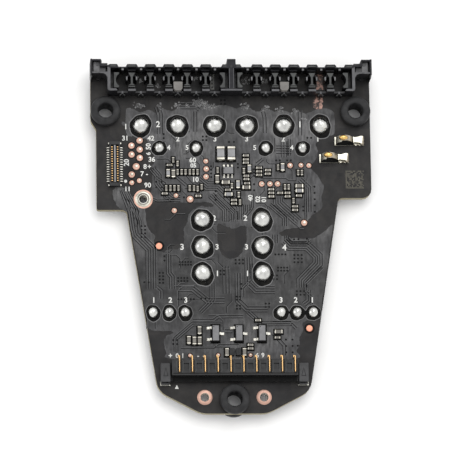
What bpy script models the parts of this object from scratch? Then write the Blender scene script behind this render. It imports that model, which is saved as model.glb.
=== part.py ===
"""Four-motor electronic speed controller board of a small camera drone.

Every length below is in millimetres.  The board's top face is the datum plane: an empty stands
on it and carries every piece, so a piece's z is its height above the board's top face.
X runs across the board and Y runs along it, from the power connector to the slotted guide.
"""
from math import acos, cos, pi, radians, sin, tan

import bmesh
import bpy
from mathutils import Matrix, Vector

MM = 0.001

# Board
BOARD_T = 1.2
BOARD_HALF_W = 22.95
BOARD_REAR_Y = 25.7
BOARD_FRONT_Y = -31.1
TAPER_HALF_W = 16.78      # half width of the tapered body at y = 0
TAPER_SLOPE = 0.1617      # half width lost for each millimetre towards the front
GAP = 0.1                 # clearance under and around soldered and clipped pieces

# Rubber grommets
GROMMET_R = 2.45
GROMMET_BORE_R = 1.2
GROMMET_NECK_R = 1.5
GROMMET_HOLE_R = 1.7      # hole in the board around the grommet's neck
GROMMET_FLANGE_BELOW = 1.5
GROMMET_FLANGE_ABOVE = 1.25
GROMMET_SLACK = 0.25      # between the board and each flange
GROMMET_REAR = (20.5, 18.9)
GROMMET_FRONT_Y = -28.85

# Slotted guide frame
GUIDE_H = 3.8
GUIDE_POST_H = 3.0
GUIDE_HALF_W = 20.27
GUIDE_FRONT_Y = 21.6
GUIDE_WALL_Y = 25.6       # rear wall, in the recesses between the ribs
GUIDE_RIB_Y = 26.05       # rear wall, on the ribs
GUIDE_REAR_Y = 26.95      # rear of the ears and of the middle tab
BAY_PITCH = 3.02
FIRST_BAY_X = 2.68
BAYS_PER_SIDE = 6
KEY_SIZE = (1.5, 1.4, 0.5)
STAKE = (21.6, 24.75)
STAKE_R = 0.45

# Soldered joints of the motor leads
PHASE_R = 1.3
REAR_PHASES_X = (2.65, 8.7, 14.75)
REAR_PHASES_Y = 16.7
MID_PHASES_X = 4.9
MID_PHASES_Y = (0.95, -3.55, -8.0)

# Plated holes and the funnel insert
PLATED_HOLE = (4.8, -28.45)
PLATED_HOLE_R = 0.72
INSERT = (-14.45, 4.3)
INSERT_R = 1.05
INSERT_HOLE_R = 0.8
INSERT_BORE_R = 0.45

# Power connector
BLADE_PITCH = 2.08
BLADE_COUNT = 10
BLADE_W = 0.34
BLADE_ROW_X = 0.45        # middle of the row of blades
POWER_REAR_Y = -22.65
POWER_STEP_Y = -25.2
POWER_FRONT_Y = -26.0
POWER_HALF_W = 10.2
POWER_H = 2.5
POWER_LEDGE_H = 1.1
END_CAP_W = 1.6

# Signal connector
SIGNAL = (-19.05, 10.05)
SIGNAL_SIZE = (1.75, 7.4, 0.85)

# Spring contacts: the left end of each base and the middle of its width
SPRING_LEFT_ENDS = {"rear": (17.0, 14.0), "front": (14.45, 11.1)}
SPRING_L = 4.95
SPRING_W = 1.5
SPRING_SHEET = 0.18
SPRING_HINGE = (2.95, 0.8)    # from the base's left end, and height
SPRING_DOME_X = 1.45          # from the base's left end

# Chips
TRANSISTORS_X = (-2.95, 0.85, 4.6)
TRANSISTORS_Y = -18.05
STAGE_SIZE = (5.2, 3.4, 0.9)
REAR_STAGES_Y = 20.9
MID_STAGES_X = 9.9
CONTROLLER_SIZE = (5.0, 5.0, 0.85)
CONTROLLERS = {"rear": (8.7, 8.6), "front": (4.1, -13.6)}
SUPPLY_COIL = (0.0, 8.4)

# Origin of the part: middle of its outer box, on the surface that it stands on
BOARD_TOP_Z = GROMMET_FLANGE_BELOW + GROMMET_SLACK + BOARD_T
DATUM_Y = -(GROMMET_FRONT_Y - GROMMET_R + GUIDE_REAR_Y) / 2


# ---------------------------------------------------------------- scene and helpers

def clear_scene():
    for obj in list(bpy.data.objects):
        bpy.data.objects.remove(obj, do_unlink=True)


def make_collection(name):
    collection = bpy.data.collections.new(name)
    bpy.context.scene.collection.children.link(collection)
    return collection


clear_scene()
PARTS = make_collection("motor_speed_controller")
CUTTERS = make_collection("cutters")
DATUM = bpy.data.objects.new("board_datum", None)
DATUM.location = (0.0, DATUM_Y * MM, BOARD_TOP_Z * MM)
PARTS.objects.link(DATUM)


def material(name, colour, roughness, metallic=0.0):
    mat = bpy.data.materials.get(name) or bpy.data.materials.new(name)
    mat.use_nodes = True
    shader = mat.node_tree.nodes["Principled BSDF"]
    shader.inputs["Base Color"].default_value = (*colour, 1.0)
    shader.inputs["Roughness"].default_value = roughness
    shader.inputs["Metallic"].default_value = metallic
    mat.diffuse_color = (*colour, 1.0)
    return mat


LAMINATE = material("board_laminate", (0.03, 0.03, 0.033), 0.45)
GUIDE_PLASTIC = material("guide_plastic", (0.02, 0.02, 0.022), 0.55)
KEY_PLASTIC = material("key_plastic", (0.33, 0.32, 0.31), 0.6)
HOUSING_PLASTIC = material("housing_plastic", (0.025, 0.025, 0.027), 0.5)
CAP_PLASTIC = material("cap_plastic", (0.06, 0.06, 0.065), 0.5)
RUBBER = material("grommet_rubber", (0.018, 0.018, 0.019), 0.75)
GOLD = material("contact_gold", (0.72, 0.47, 0.22), 0.3, 1.0)
TIN = material("bright_tin", (0.72, 0.71, 0.68), 0.3, 1.0)
SOLDER = material("solder", (0.75, 0.76, 0.76), 0.22, 1.0)
RESIN = material("chip_resin", (0.03, 0.03, 0.032), 0.5)
FERRITE = material("ferrite", (0.09, 0.09, 0.09), 0.6)


def place(name, data, mat, location=(0.0, 0.0, 0.0)):
    """Link data as an object under the board's datum; location is in millimetres."""
    obj = bpy.data.objects.new(name, data)
    obj.location = Vector(location) * MM
    if mat is not None:
        data.materials.append(mat)
    PARTS.objects.link(obj)
    obj.parent = DATUM
    return obj


def as_cutter(obj):
    """Move an object to the cutters, where it only shapes other pieces."""
    PARTS.objects.unlink(obj)
    CUTTERS.objects.link(obj)
    obj.hide_render = True
    obj.display_type = "WIRE"
    return obj


def boolean(obj, other, operation):
    modifier = obj.modifiers.new(operation.lower(), "BOOLEAN")
    modifier.operation = operation
    modifier.object = as_cutter(other)


def bevel(obj, width, segments=1):
    modifier = obj.modifiers.new("edges", "BEVEL")
    modifier.width = width * MM
    modifier.segments = segments
    modifier.limit_method = "ANGLE"
    modifier.angle_limit = radians(40)


def box(name, centre, size, mat):
    """Box with its origin at its centre."""
    bm = bmesh.new()
    bmesh.ops.create_cube(bm, size=1.0, matrix=Matrix.Diagonal((*Vector(size) * MM, 1.0)))
    mesh = bpy.data.meshes.new(name)
    bm.to_mesh(mesh)
    bm.free()
    return place(name, mesh, mat, centre)


def box_tool(name, boxes):
    """Mesh of separate boxes, each (centre, size), for a Boolean to join or cut with."""
    bm = bmesh.new()
    for centre, size in boxes:
        matrix = Matrix.Translation(Vector(centre) * MM) @ Matrix.Diagonal((*Vector(size) * MM, 1.0))
        bmesh.ops.create_cube(bm, size=1.0, matrix=matrix)
    mesh = bpy.data.meshes.new(name)
    bm.to_mesh(mesh)
    bm.free()
    return place(name, mesh, None)


def standing(x, y, size, lift=GAP):
    """Centre and size of a box that stands on the board's top face."""
    return (x, y, lift + size[2] / 2), size


def hanging(x, y, size, lift=GAP):
    """Centre and size of a box that hangs under the board."""
    return (x, y, -BOARD_T - lift - size[2] / 2), size


def circle(x, y, radius, count=16):
    angles = [2 * pi * i / count for i in range(count)]
    return [(x + radius * cos(a), y + radius * sin(a)) for a in angles]


def rounded(corners, steps=4):
    """Outline through corners (x, y, radius), each rounded by an arc of that radius."""
    outline = []
    for i, (x, y, radius) in enumerate(corners):
        here = Vector((x, y))
        before = (Vector(corners[i - 1][:2]) - here).normalized()
        after = (Vector(corners[(i + 1) % len(corners)][:2]) - here).normalized()
        if radius == 0:
            outline.append((x, y))
            continue
        half = acos(max(-1.0, min(1.0, before.dot(after)))) / 2
        centre = here + (before + after).normalized() * radius / sin(half)
        start = here + before * radius / tan(half) - centre
        sweep = start.angle_signed(here + after * radius / tan(half) - centre)
        for k in range(steps + 1):
            turned = Matrix.Rotation(-sweep * k / steps, 2) @ start
            outline.append(tuple(centre + turned))
    return outline


def mirrored(half):
    """Whole outline from its right half, given from the front to the rear."""
    return half + [(-x, *rest) for x, *rest in reversed(half)]


def plate_curve(name, outlines, thickness):
    """Flat curve filled between its outlines, as thick as given."""
    curve = bpy.data.curves.new(name, "CURVE")
    curve.dimensions = "2D"
    curve.fill_mode = "BOTH"
    curve.extrude = thickness / 2 * MM
    for points in outlines:
        spline = curve.splines.new("POLY")
        spline.points.add(len(points) - 1)
        for point, (x, y) in zip(spline.points, points):
            point.co = (x * MM, y * MM, 0.0, 1.0)
        spline.use_cyclic_u = True
    return curve


def plate(name, outlines, z_low, z_high, mat):
    """Flat piece between two heights."""
    curve = plate_curve(name, outlines, z_high - z_low)
    return place(name, curve, mat, (0.0, 0.0, (z_low + z_high) / 2))


def to_mesh(obj):
    """Turn a curve object into a mesh object with welded caps."""
    depsgraph = bpy.context.evaluated_depsgraph_get()
    mesh = bpy.data.meshes.new_from_object(obj.evaluated_get(depsgraph))
    bm = bmesh.new()
    bm.from_mesh(mesh)
    bmesh.ops.remove_doubles(bm, verts=bm.verts, dist=0.001 * MM)
    bmesh.ops.recalc_face_normals(bm, faces=bm.faces)
    bm.to_mesh(mesh)
    bm.free()
    name = obj.name
    matrix = obj.matrix_basis.copy()
    bpy.data.objects.remove(obj, do_unlink=True)
    solid = place(name, mesh, None)
    solid.matrix_basis = matrix
    return solid


def strip(points, thickness):
    """Outline of a bent sheet whose middle follows points."""
    sides = ([], [])
    path = [Vector(p) for p in points]
    for i, here in enumerate(path):
        before = (here - path[i - 1]).normalized() if i else None
        after = (path[i + 1] - here).normalized() if i < len(path) - 1 else before
        before = before or after
        normal = Vector((-before.y - after.y, before.x + after.x)).normalized()
        reach = thickness / 2 / max(0.5, normal.dot(Vector((-after.y, after.x))))
        sides[0].append(tuple(here + normal * reach))
        sides[1].append(tuple(here - normal * reach))
    return sides[0] + sides[1][::-1]


def turned(name, profile, mat, location, steps=14, closed=False):
    """Turned piece: profile (radius, height) runs down its outer side from top to bottom."""
    mesh = bpy.data.meshes.new(name)
    count = len(profile)
    edges = [(i, i + 1) for i in range(count - 1)] + ([(count - 1, 0)] if closed else [])
    mesh.from_pydata([(r * MM, 0.0, z * MM) for r, z in profile], edges, [])
    obj = place(name, mesh, mat, location)
    screw = obj.modifiers.new("turn", "SCREW")
    screw.steps = steps
    screw.render_steps = steps
    screw.use_merge_vertices = True
    screw.merge_threshold = 0.00001
    screw.use_normal_calculate = False
    return obj


# ---------------------------------------------------------------- board

def taper_x(y):
    return TAPER_HALF_W + TAPER_SLOPE * y


def board_outline():
    nose = [(5.35, BOARD_FRONT_Y, 4.0), (taper_x(-27.45), -27.45, 3.0)]
    right = [(taper_x(4.5), 4.5, 0.8), (BOARD_HALF_W, 4.5, 1.5), (BOARD_HALF_W, BOARD_REAR_Y, 0.6)]
    left = [(-BOARD_HALF_W, BOARD_REAR_Y, 0.6), (-BOARD_HALF_W, 17.4, 1.0), (-22.05, 15.9, 1.0),
            (-22.05, 2.5, 0.3), (-taper_x(2.5), 2.5, 0.8)]
    mirrored_nose = [(-x, y, r) for x, y, r in reversed(nose)]
    return rounded(nose + right + left + mirrored_nose)


def phase_places():
    rear = [(x, REAR_PHASES_Y) for x in REAR_PHASES_X]
    middle = [(MID_PHASES_X, y) for y in MID_PHASES_Y]
    return rear + middle


def both_sides(places):
    return [(side * x, y) for x, y in places for side in (1, -1)]


def make_board():
    holes = [circle(x, y, GROMMET_HOLE_R, 20) for x, y in both_sides([GROMMET_REAR])]
    holes.append(circle(0.0, GROMMET_FRONT_Y, GROMMET_HOLE_R, 20))
    holes += [circle(x, y, 0.75 * PHASE_R, 12) for x, y in both_sides(phase_places())]
    holes += [circle(x, y, PLATED_HOLE_R, 16) for x, y in both_sides([PLATED_HOLE])]
    holes += [circle(x, y, STAKE_R + 0.15, 12) for x, y in both_sides([STAKE])]
    holes.append(circle(*INSERT, INSERT_HOLE_R, 16))
    plate("circuit_board", [board_outline()] + holes, -BOARD_T, 0.0, LAMINATE)


# ---------------------------------------------------------------- slotted guide

def post_places():
    """Middles of the guide's posts right of the centre line, the two end ones included."""
    return [FIRST_BAY_X + BAY_PITCH * (i - 0.5) for i in range(BAYS_PER_SIDE + 1)]


def guide_outline():
    """Outer edge: ribbed rear wall, ears at both ends and a tab in the middle."""
    half = [(GUIDE_HALF_W, GUIDE_FRONT_Y, 0.7), (GUIDE_HALF_W, 24.0, 0),
            (23.05, 24.0, 0.2), (23.05, GUIDE_REAR_Y, 0.12), (22.7, GUIDE_REAR_Y, 0),
            (22.7, 26.65, 0), (21.3, 26.65, 0.25), (21.3, 25.45, 0), (20.35, 25.45, 0)]
    for x in reversed(post_places()):
        half += [(x + 1.0, GUIDE_WALL_Y, 0), (x + 0.75, GUIDE_RIB_Y, 0)]
        if x > 2:
            half += [(x - 0.75, GUIDE_RIB_Y, 0), (x - 1.0, GUIDE_WALL_Y, 0)]
    half += [(0.65, GUIDE_RIB_Y, 0), (0.65, GUIDE_REAR_Y, 0.15)]
    return rounded(mirrored(half), steps=3)


def window_outline(side):
    corners = [(0.42, 21.95, 0.2), (19.75, 21.95, 0.4), (19.75, 25.05, 0.4), (0.42, 25.05, 0.2)]
    return rounded([(side * x, y, r) for x, y, r in corners], steps=2)


def comb_outline(side):
    """Row of hooked posts that rise from the front wall and part the bays."""
    half_post = [(0.9, 24.75), (0.9, 23.45), (0.58, 23.45), (0.58, 24.1), (0.2, 24.2),
                 (0.2, 22.55), (1.0, 22.35), (1.0, 21.8)]
    posts = post_places()
    points = [(0.2, 21.75), (0.2, 24.75)]
    for x in posts:
        if x > posts[0]:
            points += [(x - dx, y) for dx, y in reversed(half_post)]
        if x < posts[-1]:
            points += [(x + dx, y) for dx, y in half_post]
    points += [(19.95, 24.75), (19.95, 21.75)]
    return [(side * x, y) for x, y in points]


def make_guide():
    outlines = [guide_outline(), window_outline(1), window_outline(-1)]
    frame = to_mesh(plate("slotted_guide_frame", outlines, GAP, GUIDE_H, None))
    frame.data.materials.append(GUIDE_PLASTIC)
    for side, label in ((1, "right"), (-1, "left")):
        comb = to_mesh(plate(f"comb_{label}", [comb_outline(side)], 2 * GAP, GUIDE_POST_H, None))
        boolean(frame, comb, "UNION")
        stake_top = GUIDE_H + 0.08
        profile = [(0.0, stake_top), (STAKE_R, stake_top), (STAKE_R, -BOARD_T - GAP),
                   (0.85, -BOARD_T - GAP), (0.7, -BOARD_T - GAP - 0.35), (0.0, -BOARD_T - GAP - 0.4)]
        stake = turned(f"stake_{label}", profile, None, (side * STAKE[0], STAKE[1], 0.0), 12)
        boolean(frame, stake, "UNION")
        key_x = side * (FIRST_BAY_X + 2 * BAY_PITCH)
        spot = standing(key_x, 22.8, KEY_SIZE, GUIDE_POST_H + GAP)
        key = box(f"bay_key_{label}", *spot, KEY_PLASTIC)
        bevel(key, 0.15)


# ---------------------------------------------------------------- grommets

def make_grommet(name, x, y):
    low = -BOARD_T - GROMMET_SLACK
    high = GROMMET_SLACK
    top = high + GROMMET_FLANGE_ABOVE
    bottom = low - GROMMET_FLANGE_BELOW
    profile = [(GROMMET_BORE_R, top - 0.2), (GROMMET_BORE_R + 0.25, top), (GROMMET_R - 0.45, top),
               (GROMMET_R, top - 0.4), (GROMMET_R, high), (GROMMET_NECK_R, high),
               (GROMMET_NECK_R, low), (GROMMET_R, low), (GROMMET_R, bottom),
               (GROMMET_BORE_R, bottom)]
    turned(name, profile, RUBBER, (x, y, 0.0), 20, closed=True)


def make_grommets():
    make_grommet("grommet_rear_right", *GROMMET_REAR)
    make_grommet("grommet_rear_left", -GROMMET_REAR[0], GROMMET_REAR[1])
    make_grommet("grommet_front", 0.0, GROMMET_FRONT_Y)


# ---------------------------------------------------------------- motor lead joints

def joint_profile(radius):
    """Dome on the board, barrel through it and a flatter dome underneath."""
    barrel = 0.75 * radius - GAP
    under = -BOARD_T - GAP
    dome = [(radius * sin(a), GAP + radius * cos(a)) for a in (0.0, pi / 6, pi / 3)]
    tail = [(0.85 * radius, under), (0.55 * radius, under - 0.4 * radius), (0.0, under - 0.5 * radius)]
    return dome + [(radius, GAP), (barrel, GAP), (barrel, under)] + tail


def make_motor_joints():
    for side, label in ((1, "right"), (-1, "left")):
        rear = [(x, REAR_PHASES_Y) for x in REAR_PHASES_X]
        front = [(MID_PHASES_X, y) for y in MID_PHASES_Y]
        for row, places in (("rear", rear), ("front", front)):
            for number, (x, y) in enumerate(places, 1):
                turned(f"motor_joint_{row}_{label}_{number}", joint_profile(PHASE_R), SOLDER,
                       (side * x, y, 0.0), 12)


# ---------------------------------------------------------------- funnel insert

def make_insert():
    under = -BOARD_T - GAP
    barrel = INSERT_HOLE_R - GAP
    funnel = [(INSERT_R - 0.12, 0.3), (INSERT_R, 0.25), (INSERT_R, GAP), (barrel, GAP),
              (barrel, under - 0.3), (INSERT_BORE_R, under - 0.3), (INSERT_BORE_R, -0.35)]
    turned("funnel_insert", funnel, TIN, (*INSERT, 0.0), 20, closed=True)


# ---------------------------------------------------------------- power connector

def blade_places():
    first = BLADE_ROW_X - BLADE_PITCH * (BLADE_COUNT - 1) / 2
    return [first + BLADE_PITCH * i for i in range(BLADE_COUNT)]


def across(name, outline, width, centre_x, mat):
    """Piece whose (y, z) outline is extruded across the board."""
    obj = place(name, plate_curve(name, [outline], width), mat, (centre_x, 0.0, 0.0))
    obj.rotation_euler = (radians(90), 0.0, radians(90))
    return obj


def make_power_connector():
    profile = [(POWER_REAR_Y, GAP), (POWER_REAR_Y, POWER_H), (POWER_STEP_Y, POWER_H),
               (POWER_STEP_Y, POWER_LEDGE_H), (POWER_FRONT_Y, POWER_LEDGE_H), (POWER_FRONT_Y, GAP)]
    housing = to_mesh(across("power_connector_housing", profile, 2 * POWER_HALF_W, 0.0, None))
    housing.data.materials.append(HOUSING_PLASTIC)
    slots = [((x, POWER_REAR_Y - 1.0, POWER_H), (0.55, 2.4, 1.0)) for x in blade_places()]
    pockets = [((x + BLADE_PITCH / 2, POWER_REAR_Y - 1.1, POWER_H), (0.95, 1.0, 0.6))
               for x in blade_places()[:-1]]
    boolean(housing, box_tool("slot_cutter", slots + pockets), "DIFFERENCE")
    path = [(-21.5, 0.2), (-22.4, 0.2), (-22.4, 2.25), (-24.7, 2.25)]
    for number, x in enumerate(blade_places(), 1):
        across(f"power_contact_{number:02d}", strip(path, 0.2), BLADE_W, x, GOLD)


def make_end_caps():
    middle = POWER_HALF_W + 0.15 + END_CAP_W / 2
    foot = strip([(-26.62, 0.17), (-26.3, 0.17), (-26.3, 1.2)], 0.12)
    for side, label in ((1, "right"), (-1, "left")):
        spot = standing(side * middle, -24.6, (END_CAP_W, 3.1, 1.6))
        bevel(box(f"power_connector_end_{label}", *spot, CAP_PLASTIC), 0.12)
        across(f"connector_hold_down_{label}", foot, END_CAP_W + 0.1, side * middle, TIN)


# ---------------------------------------------------------------- signal connector

def rectangle(x, y, width, length):
    return [(x - width / 2, y - length / 2), (x + width / 2, y - length / 2),
            (x + width / 2, y + length / 2), (x - width / 2, y + length / 2)]


def make_signal_connector():
    x, y = SIGNAL
    housing = box("signal_connector_housing", *standing(x, y, SIGNAL_SIZE), HOUSING_PLASTIC)
    channel = [rectangle(x, y, 1.3, 6.4), rectangle(x, y, 0.36, 5.8)]
    boolean(housing, to_mesh(plate("channel_cutter", channel, 0.3, 1.2, None)), "DIFFERENCE")


# ---------------------------------------------------------------- spring contacts

def make_spring_contact(label, left, y):
    """Folded base soldered to the board, and the sprung finger that pivots at its fold."""
    hinge_x, hinge_z = SPRING_HINGE
    sheet = strip([(0.0, 0.2), (SPRING_L - 0.3, 0.2), (SPRING_L - 0.12, 0.4), (SPRING_L - 0.12, 0.7),
                   (SPRING_L - 0.4, 0.95), (hinge_x + 0.25, 0.95)], SPRING_SHEET)
    name = f"spring_contact_base_{label}"
    base = place(name, plate_curve(name, [sheet], SPRING_W), TIN, (left, y, 0.0))
    base.rotation_euler = (radians(90), 0.0, 0.0)
    bend = [(0.0, 0.0), (-0.55, 0.95), (-1.0, 1.55), (-1.9, 1.55), (-2.4, 1.0), (-2.75, 0.15)]
    name = f"spring_contact_finger_{label}"
    curve = plate_curve(name, [strip(bend, SPRING_SHEET)], SPRING_W - 0.35)
    finger = place(name, curve, None, (left + hinge_x, y, hinge_z))
    finger.rotation_euler = (radians(90), 0.0, 0.0)
    finger = to_mesh(finger)
    finger.data.materials.append(TIN)
    dome = [(0.0, 0.42), (0.3, 0.35), (0.5, 0.1), (0.5, -0.1), (0.0, -0.1)]
    tip = turned(f"dome_{label}", dome, None, (left + SPRING_DOME_X, y, hinge_z + 1.6), 12)
    boolean(finger, tip, "UNION")


def make_spring_contacts():
    for label, (left, y) in SPRING_LEFT_ENDS.items():
        make_spring_contact(label, left, y)


# ---------------------------------------------------------------- transistors on the top face

def make_transistors():
    feet = [(-0.95, 0.95), (-0.95, -0.95), (0.95, 0.0)]
    for number, x in enumerate(TRANSISTORS_X, 1):
        spot = standing(x, TRANSISTORS_Y, (1.3, 2.9, 0.95), 0.15)
        body = box(f"transistor_{number}", *spot, RESIN)
        legs = [standing(x + dx, TRANSISTORS_Y + dy, (0.9, 0.42, 0.16)) for dx, dy in feet]
        boolean(body, box_tool(f"transistor_{number}_legs", legs), "UNION")


# ---------------------------------------------------------------- underside

def make_power_stages():
    """One half bridge, two switches in a package, beside each motor joint."""
    for side, label in ((1, "right"), (-1, "left")):
        for number, x in enumerate(REAR_PHASES_X, 1):
            spot = hanging(side * x, REAR_STAGES_Y, STAGE_SIZE)
            box(f"power_stage_rear_{label}_{number}", *spot, RESIN)
        for number, y in enumerate(MID_PHASES_Y, 1):
            spot = hanging(side * MID_STAGES_X, y, STAGE_SIZE)
            box(f"power_stage_front_{label}_{number}", *spot, RESIN)


def make_controllers():
    for side, label in ((1, "right"), (-1, "left")):
        for row, (x, y) in CONTROLLERS.items():
            spot = hanging(side * x, y, CONTROLLER_SIZE)
            bevel(box(f"motor_controller_{row}_{label}", *spot, RESIN), 0.1)


def make_supply_coil():
    """Coil of the step-down supply that feeds the controllers."""
    bevel(box("supply_coil", *hanging(*SUPPLY_COIL, (4.0, 4.0, 1.3)), FERRITE), 0.25)


# ---------------------------------------------------------------- build

def build():
    make_board()
    make_guide()
    make_grommets()
    make_motor_joints()
    make_insert()
    make_power_connector()
    make_end_caps()
    make_signal_connector()
    make_spring_contacts()
    make_transistors()
    make_power_stages()
    make_controllers()
    make_supply_coil()


build()
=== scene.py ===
"""Looks of the four-motor speed controller board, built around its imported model.

Places are in millimetres on the board: x across, y along it and z above its top face.  spot()
turns them into world metres.  Every mesh is made in world metres, so its object stays at the
origin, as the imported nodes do.
"""

import random
from math import cos, pi, radians, sin

import bmesh
import bpy
from mathutils import Matrix, Vector


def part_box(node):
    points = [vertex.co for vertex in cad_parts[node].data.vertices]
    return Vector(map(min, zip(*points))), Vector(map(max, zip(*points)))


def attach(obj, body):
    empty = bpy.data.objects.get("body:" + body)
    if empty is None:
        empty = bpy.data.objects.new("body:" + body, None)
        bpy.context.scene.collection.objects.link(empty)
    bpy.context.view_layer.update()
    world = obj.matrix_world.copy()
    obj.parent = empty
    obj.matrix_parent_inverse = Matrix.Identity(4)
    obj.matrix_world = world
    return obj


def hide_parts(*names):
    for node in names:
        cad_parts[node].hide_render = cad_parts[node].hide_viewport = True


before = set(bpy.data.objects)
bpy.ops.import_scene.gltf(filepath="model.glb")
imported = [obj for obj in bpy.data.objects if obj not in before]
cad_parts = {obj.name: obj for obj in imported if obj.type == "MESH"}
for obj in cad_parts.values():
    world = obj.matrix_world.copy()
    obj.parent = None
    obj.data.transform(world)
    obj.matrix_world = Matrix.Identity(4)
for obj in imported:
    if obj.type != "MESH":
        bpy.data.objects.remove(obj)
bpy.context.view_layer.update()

MM = 0.001
SIDES = (1, -1)
EDGE_ANGLE = 40               # edges sharper than this are rounded, in degrees
SKIN = 0.004                  # underside of printed and coated films, above the board
JOINT_FOOT, JOINT_GAP = 0.05, 0.02      # solder's foot above the board, and its gap below it
BOARD_FRONT_Y = -31.1         # the board's front edge in board millimetres
BOARD_LOW, BOARD_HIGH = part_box("circuit_board")
DATUM = Vector((0.0, BOARD_LOW.y - BOARD_FRONT_Y * MM, BOARD_HIGH.z))
BOARD_T = (BOARD_HIGH.z - BOARD_LOW.z) / MM


def spot(x, y, z=0.0):
    """World place of a point given in board millimetres."""
    return DATUM + Vector((x, y, z)) * MM


def centre_of(node):
    """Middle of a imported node, in board millimetres."""
    low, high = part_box(node)
    return ((low + high) / 2 - DATUM) / MM


def box_of(node):
    """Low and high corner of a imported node, in board millimetres."""
    return [(corner - DATUM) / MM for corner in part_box(node)]


def named(*starts):
    """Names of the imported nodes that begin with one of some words."""
    return sorted(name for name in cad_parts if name.startswith(starts))


# ---------------- materials

def add_node(tree, kind, inputs, **settings):
    """Shader node of a kind; each named input gets a link or a value."""
    node = tree.nodes.new("ShaderNode" + kind)
    for key, value in settings.items():
        setattr(node, key, value)
    for socket, value in inputs.items():
        if isinstance(value, bpy.types.NodeSocket):
            tree.links.new(value, node.inputs[socket])
        else:
            node.inputs[socket].default_value = value
    return node


def new_material(name, colour, roughness, metallic=0.0, gloss=0.5):
    """Principled material with its tree, its shader and object coordinates; gloss is its specular level."""
    mat = bpy.data.materials.new(name)
    mat.use_nodes = True
    tree = mat.node_tree
    shader = tree.nodes["Principled BSDF"]
    values = {"Base Color": (*colour, 1.0), "Roughness": roughness, "Metallic": metallic,
              "Specular IOR Level": gloss}
    for socket, value in values.items():
        shader.inputs[socket].default_value = value
    coords = tree.nodes.new("ShaderNodeTexCoord")
    return mat, tree, shader, coords.outputs["Object"]


def noise_of(tree, coords, size, detail=4.0, stretch=None):
    """Noise whose features are about size millimetres wide."""
    if stretch:
        coords = add_node(tree, "Mapping", {"Vector": coords, "Scale": stretch}).outputs["Vector"]
    scale = 1.0 / (size * MM)
    return add_node(tree, "TexNoise", {"Vector": coords, "Scale": scale, "Detail": detail}).outputs["Fac"]


def ramp(tree, factor, stops):
    """Colour ramp through (position, colour) stops; a colour given as one number is a grey."""
    node = add_node(tree, "ValToRGB", {"Fac": factor})
    elements = node.color_ramp.elements
    while len(elements) < len(stops):
        elements.new(0.5)
    for element, (position, colour) in zip(elements, stops):
        red, green, blue = (colour,) * 3 if isinstance(colour, float) else colour
        element.position = position
        element.color = (red, green, blue, 1.0)
    return node.outputs["Color"]


def spread(tree, value, low, high, first=0.3, last=0.7):
    """Value from first..last mapped to low..high; noise mostly lies between 0.3 and 0.7."""
    inputs = {"Value": value, "From Min": first, "From Max": last, "To Min": low, "To Max": high}
    return add_node(tree, "MapRange", inputs).outputs["Result"]


def mixed(tree, factor, first, second, mode="MIX"):
    """Two colours mixed by a factor, or blended in another mode."""
    inputs = {"Factor": factor, "A": first, "B": second}
    return add_node(tree, "Mix", inputs, data_type="RGBA", blend_type=mode).outputs["Result"]


def bump(tree, shader, height, strength, depth):
    """Bump of that depth in millimetres."""
    node = add_node(tree, "Bump", {"Height": height, "Strength": strength, "Distance": depth * MM})
    tree.links.new(node.outputs["Normal"], shader.inputs["Normal"])


def wire(tree, shader, colour, roughness):
    """Links the colour and the roughness of a surface."""
    tree.links.new(colour, shader.inputs["Base Color"])
    tree.links.new(roughness, shader.inputs["Roughness"])


def plain_surface(name, colour, roughness, grain, metallic=0.0, change=0.25, depth=0.01, gloss=0.5):
    """Moulded, printed or plated surface: soft blotches, uneven gloss and a fine grain."""
    mat, tree, shader, coords = new_material(name, colour, roughness, metallic, gloss)
    dark, light = (tuple(c * (1 + shift) for c in colour) for shift in (-change, change))
    blotches = ramp(tree, noise_of(tree, coords, grain * 12), [(0.3, dark), (0.7, light)])
    sheen = spread(tree, noise_of(tree, coords, grain * 5), roughness * 0.8, roughness * 1.2)
    wire(tree, shader, blotches, sheen)
    bump(tree, shader, noise_of(tree, coords, grain), 0.5, depth)
    return mat


def mask_surface():
    """Black solder mask with faint copper areas under it, dust, glass weave and tan sawn edges."""
    mat, tree, shader, coords = new_material("solder_mask", (0.016, 0.0155, 0.016), 0.5, 0.0, 0.22)
    cells = add_node(tree, "TexVoronoi", {"Vector": coords, "Scale": 1.0 / (5.0 * MM)},
                     distance="CHEBYCHEV")
    areas = ramp(tree, cells.outputs["Color"],
                 [(0.35, (0.0135, 0.013, 0.014)), (0.65, (0.0195, 0.0185, 0.0185))])
    dust = ramp(tree, noise_of(tree, coords, 1.2, 8.0), [(0.35, 0.8), (0.7, (1.35, 1.3, 1.22))])
    fibres = ramp(tree, noise_of(tree, coords, 0.5, 6.0, (0.25, 0.25, 3.0)),
                  [(0.3, (0.2, 0.17, 0.1)), (0.7, (0.36, 0.32, 0.2))])
    normal = add_node(tree, "NewGeometry", {}).outputs["Normal"]
    split = add_node(tree, "SeparateXYZ", {"Vector": normal})
    upright = add_node(tree, "Math", {0: split.outputs["Z"]}, operation="ABSOLUTE").outputs["Value"]
    level_share = spread(tree, upright, 0.0, 1.0, 0.4, 0.6)
    colour = mixed(tree, level_share, fibres, mixed(tree, 1.0, areas, dust, "MULTIPLY"))
    wire(tree, shader, colour, spread(tree, noise_of(tree, coords, 2.5), 0.42, 0.62))
    weave = add_node(tree, "TexBrick", {"Vector": coords, "Scale": 1.0 / (1.2 * MM), "Mortar Size": 0.04})
    bump(tree, shader, weave.outputs["Fac"], 0.25, 0.01)
    return mat


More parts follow.
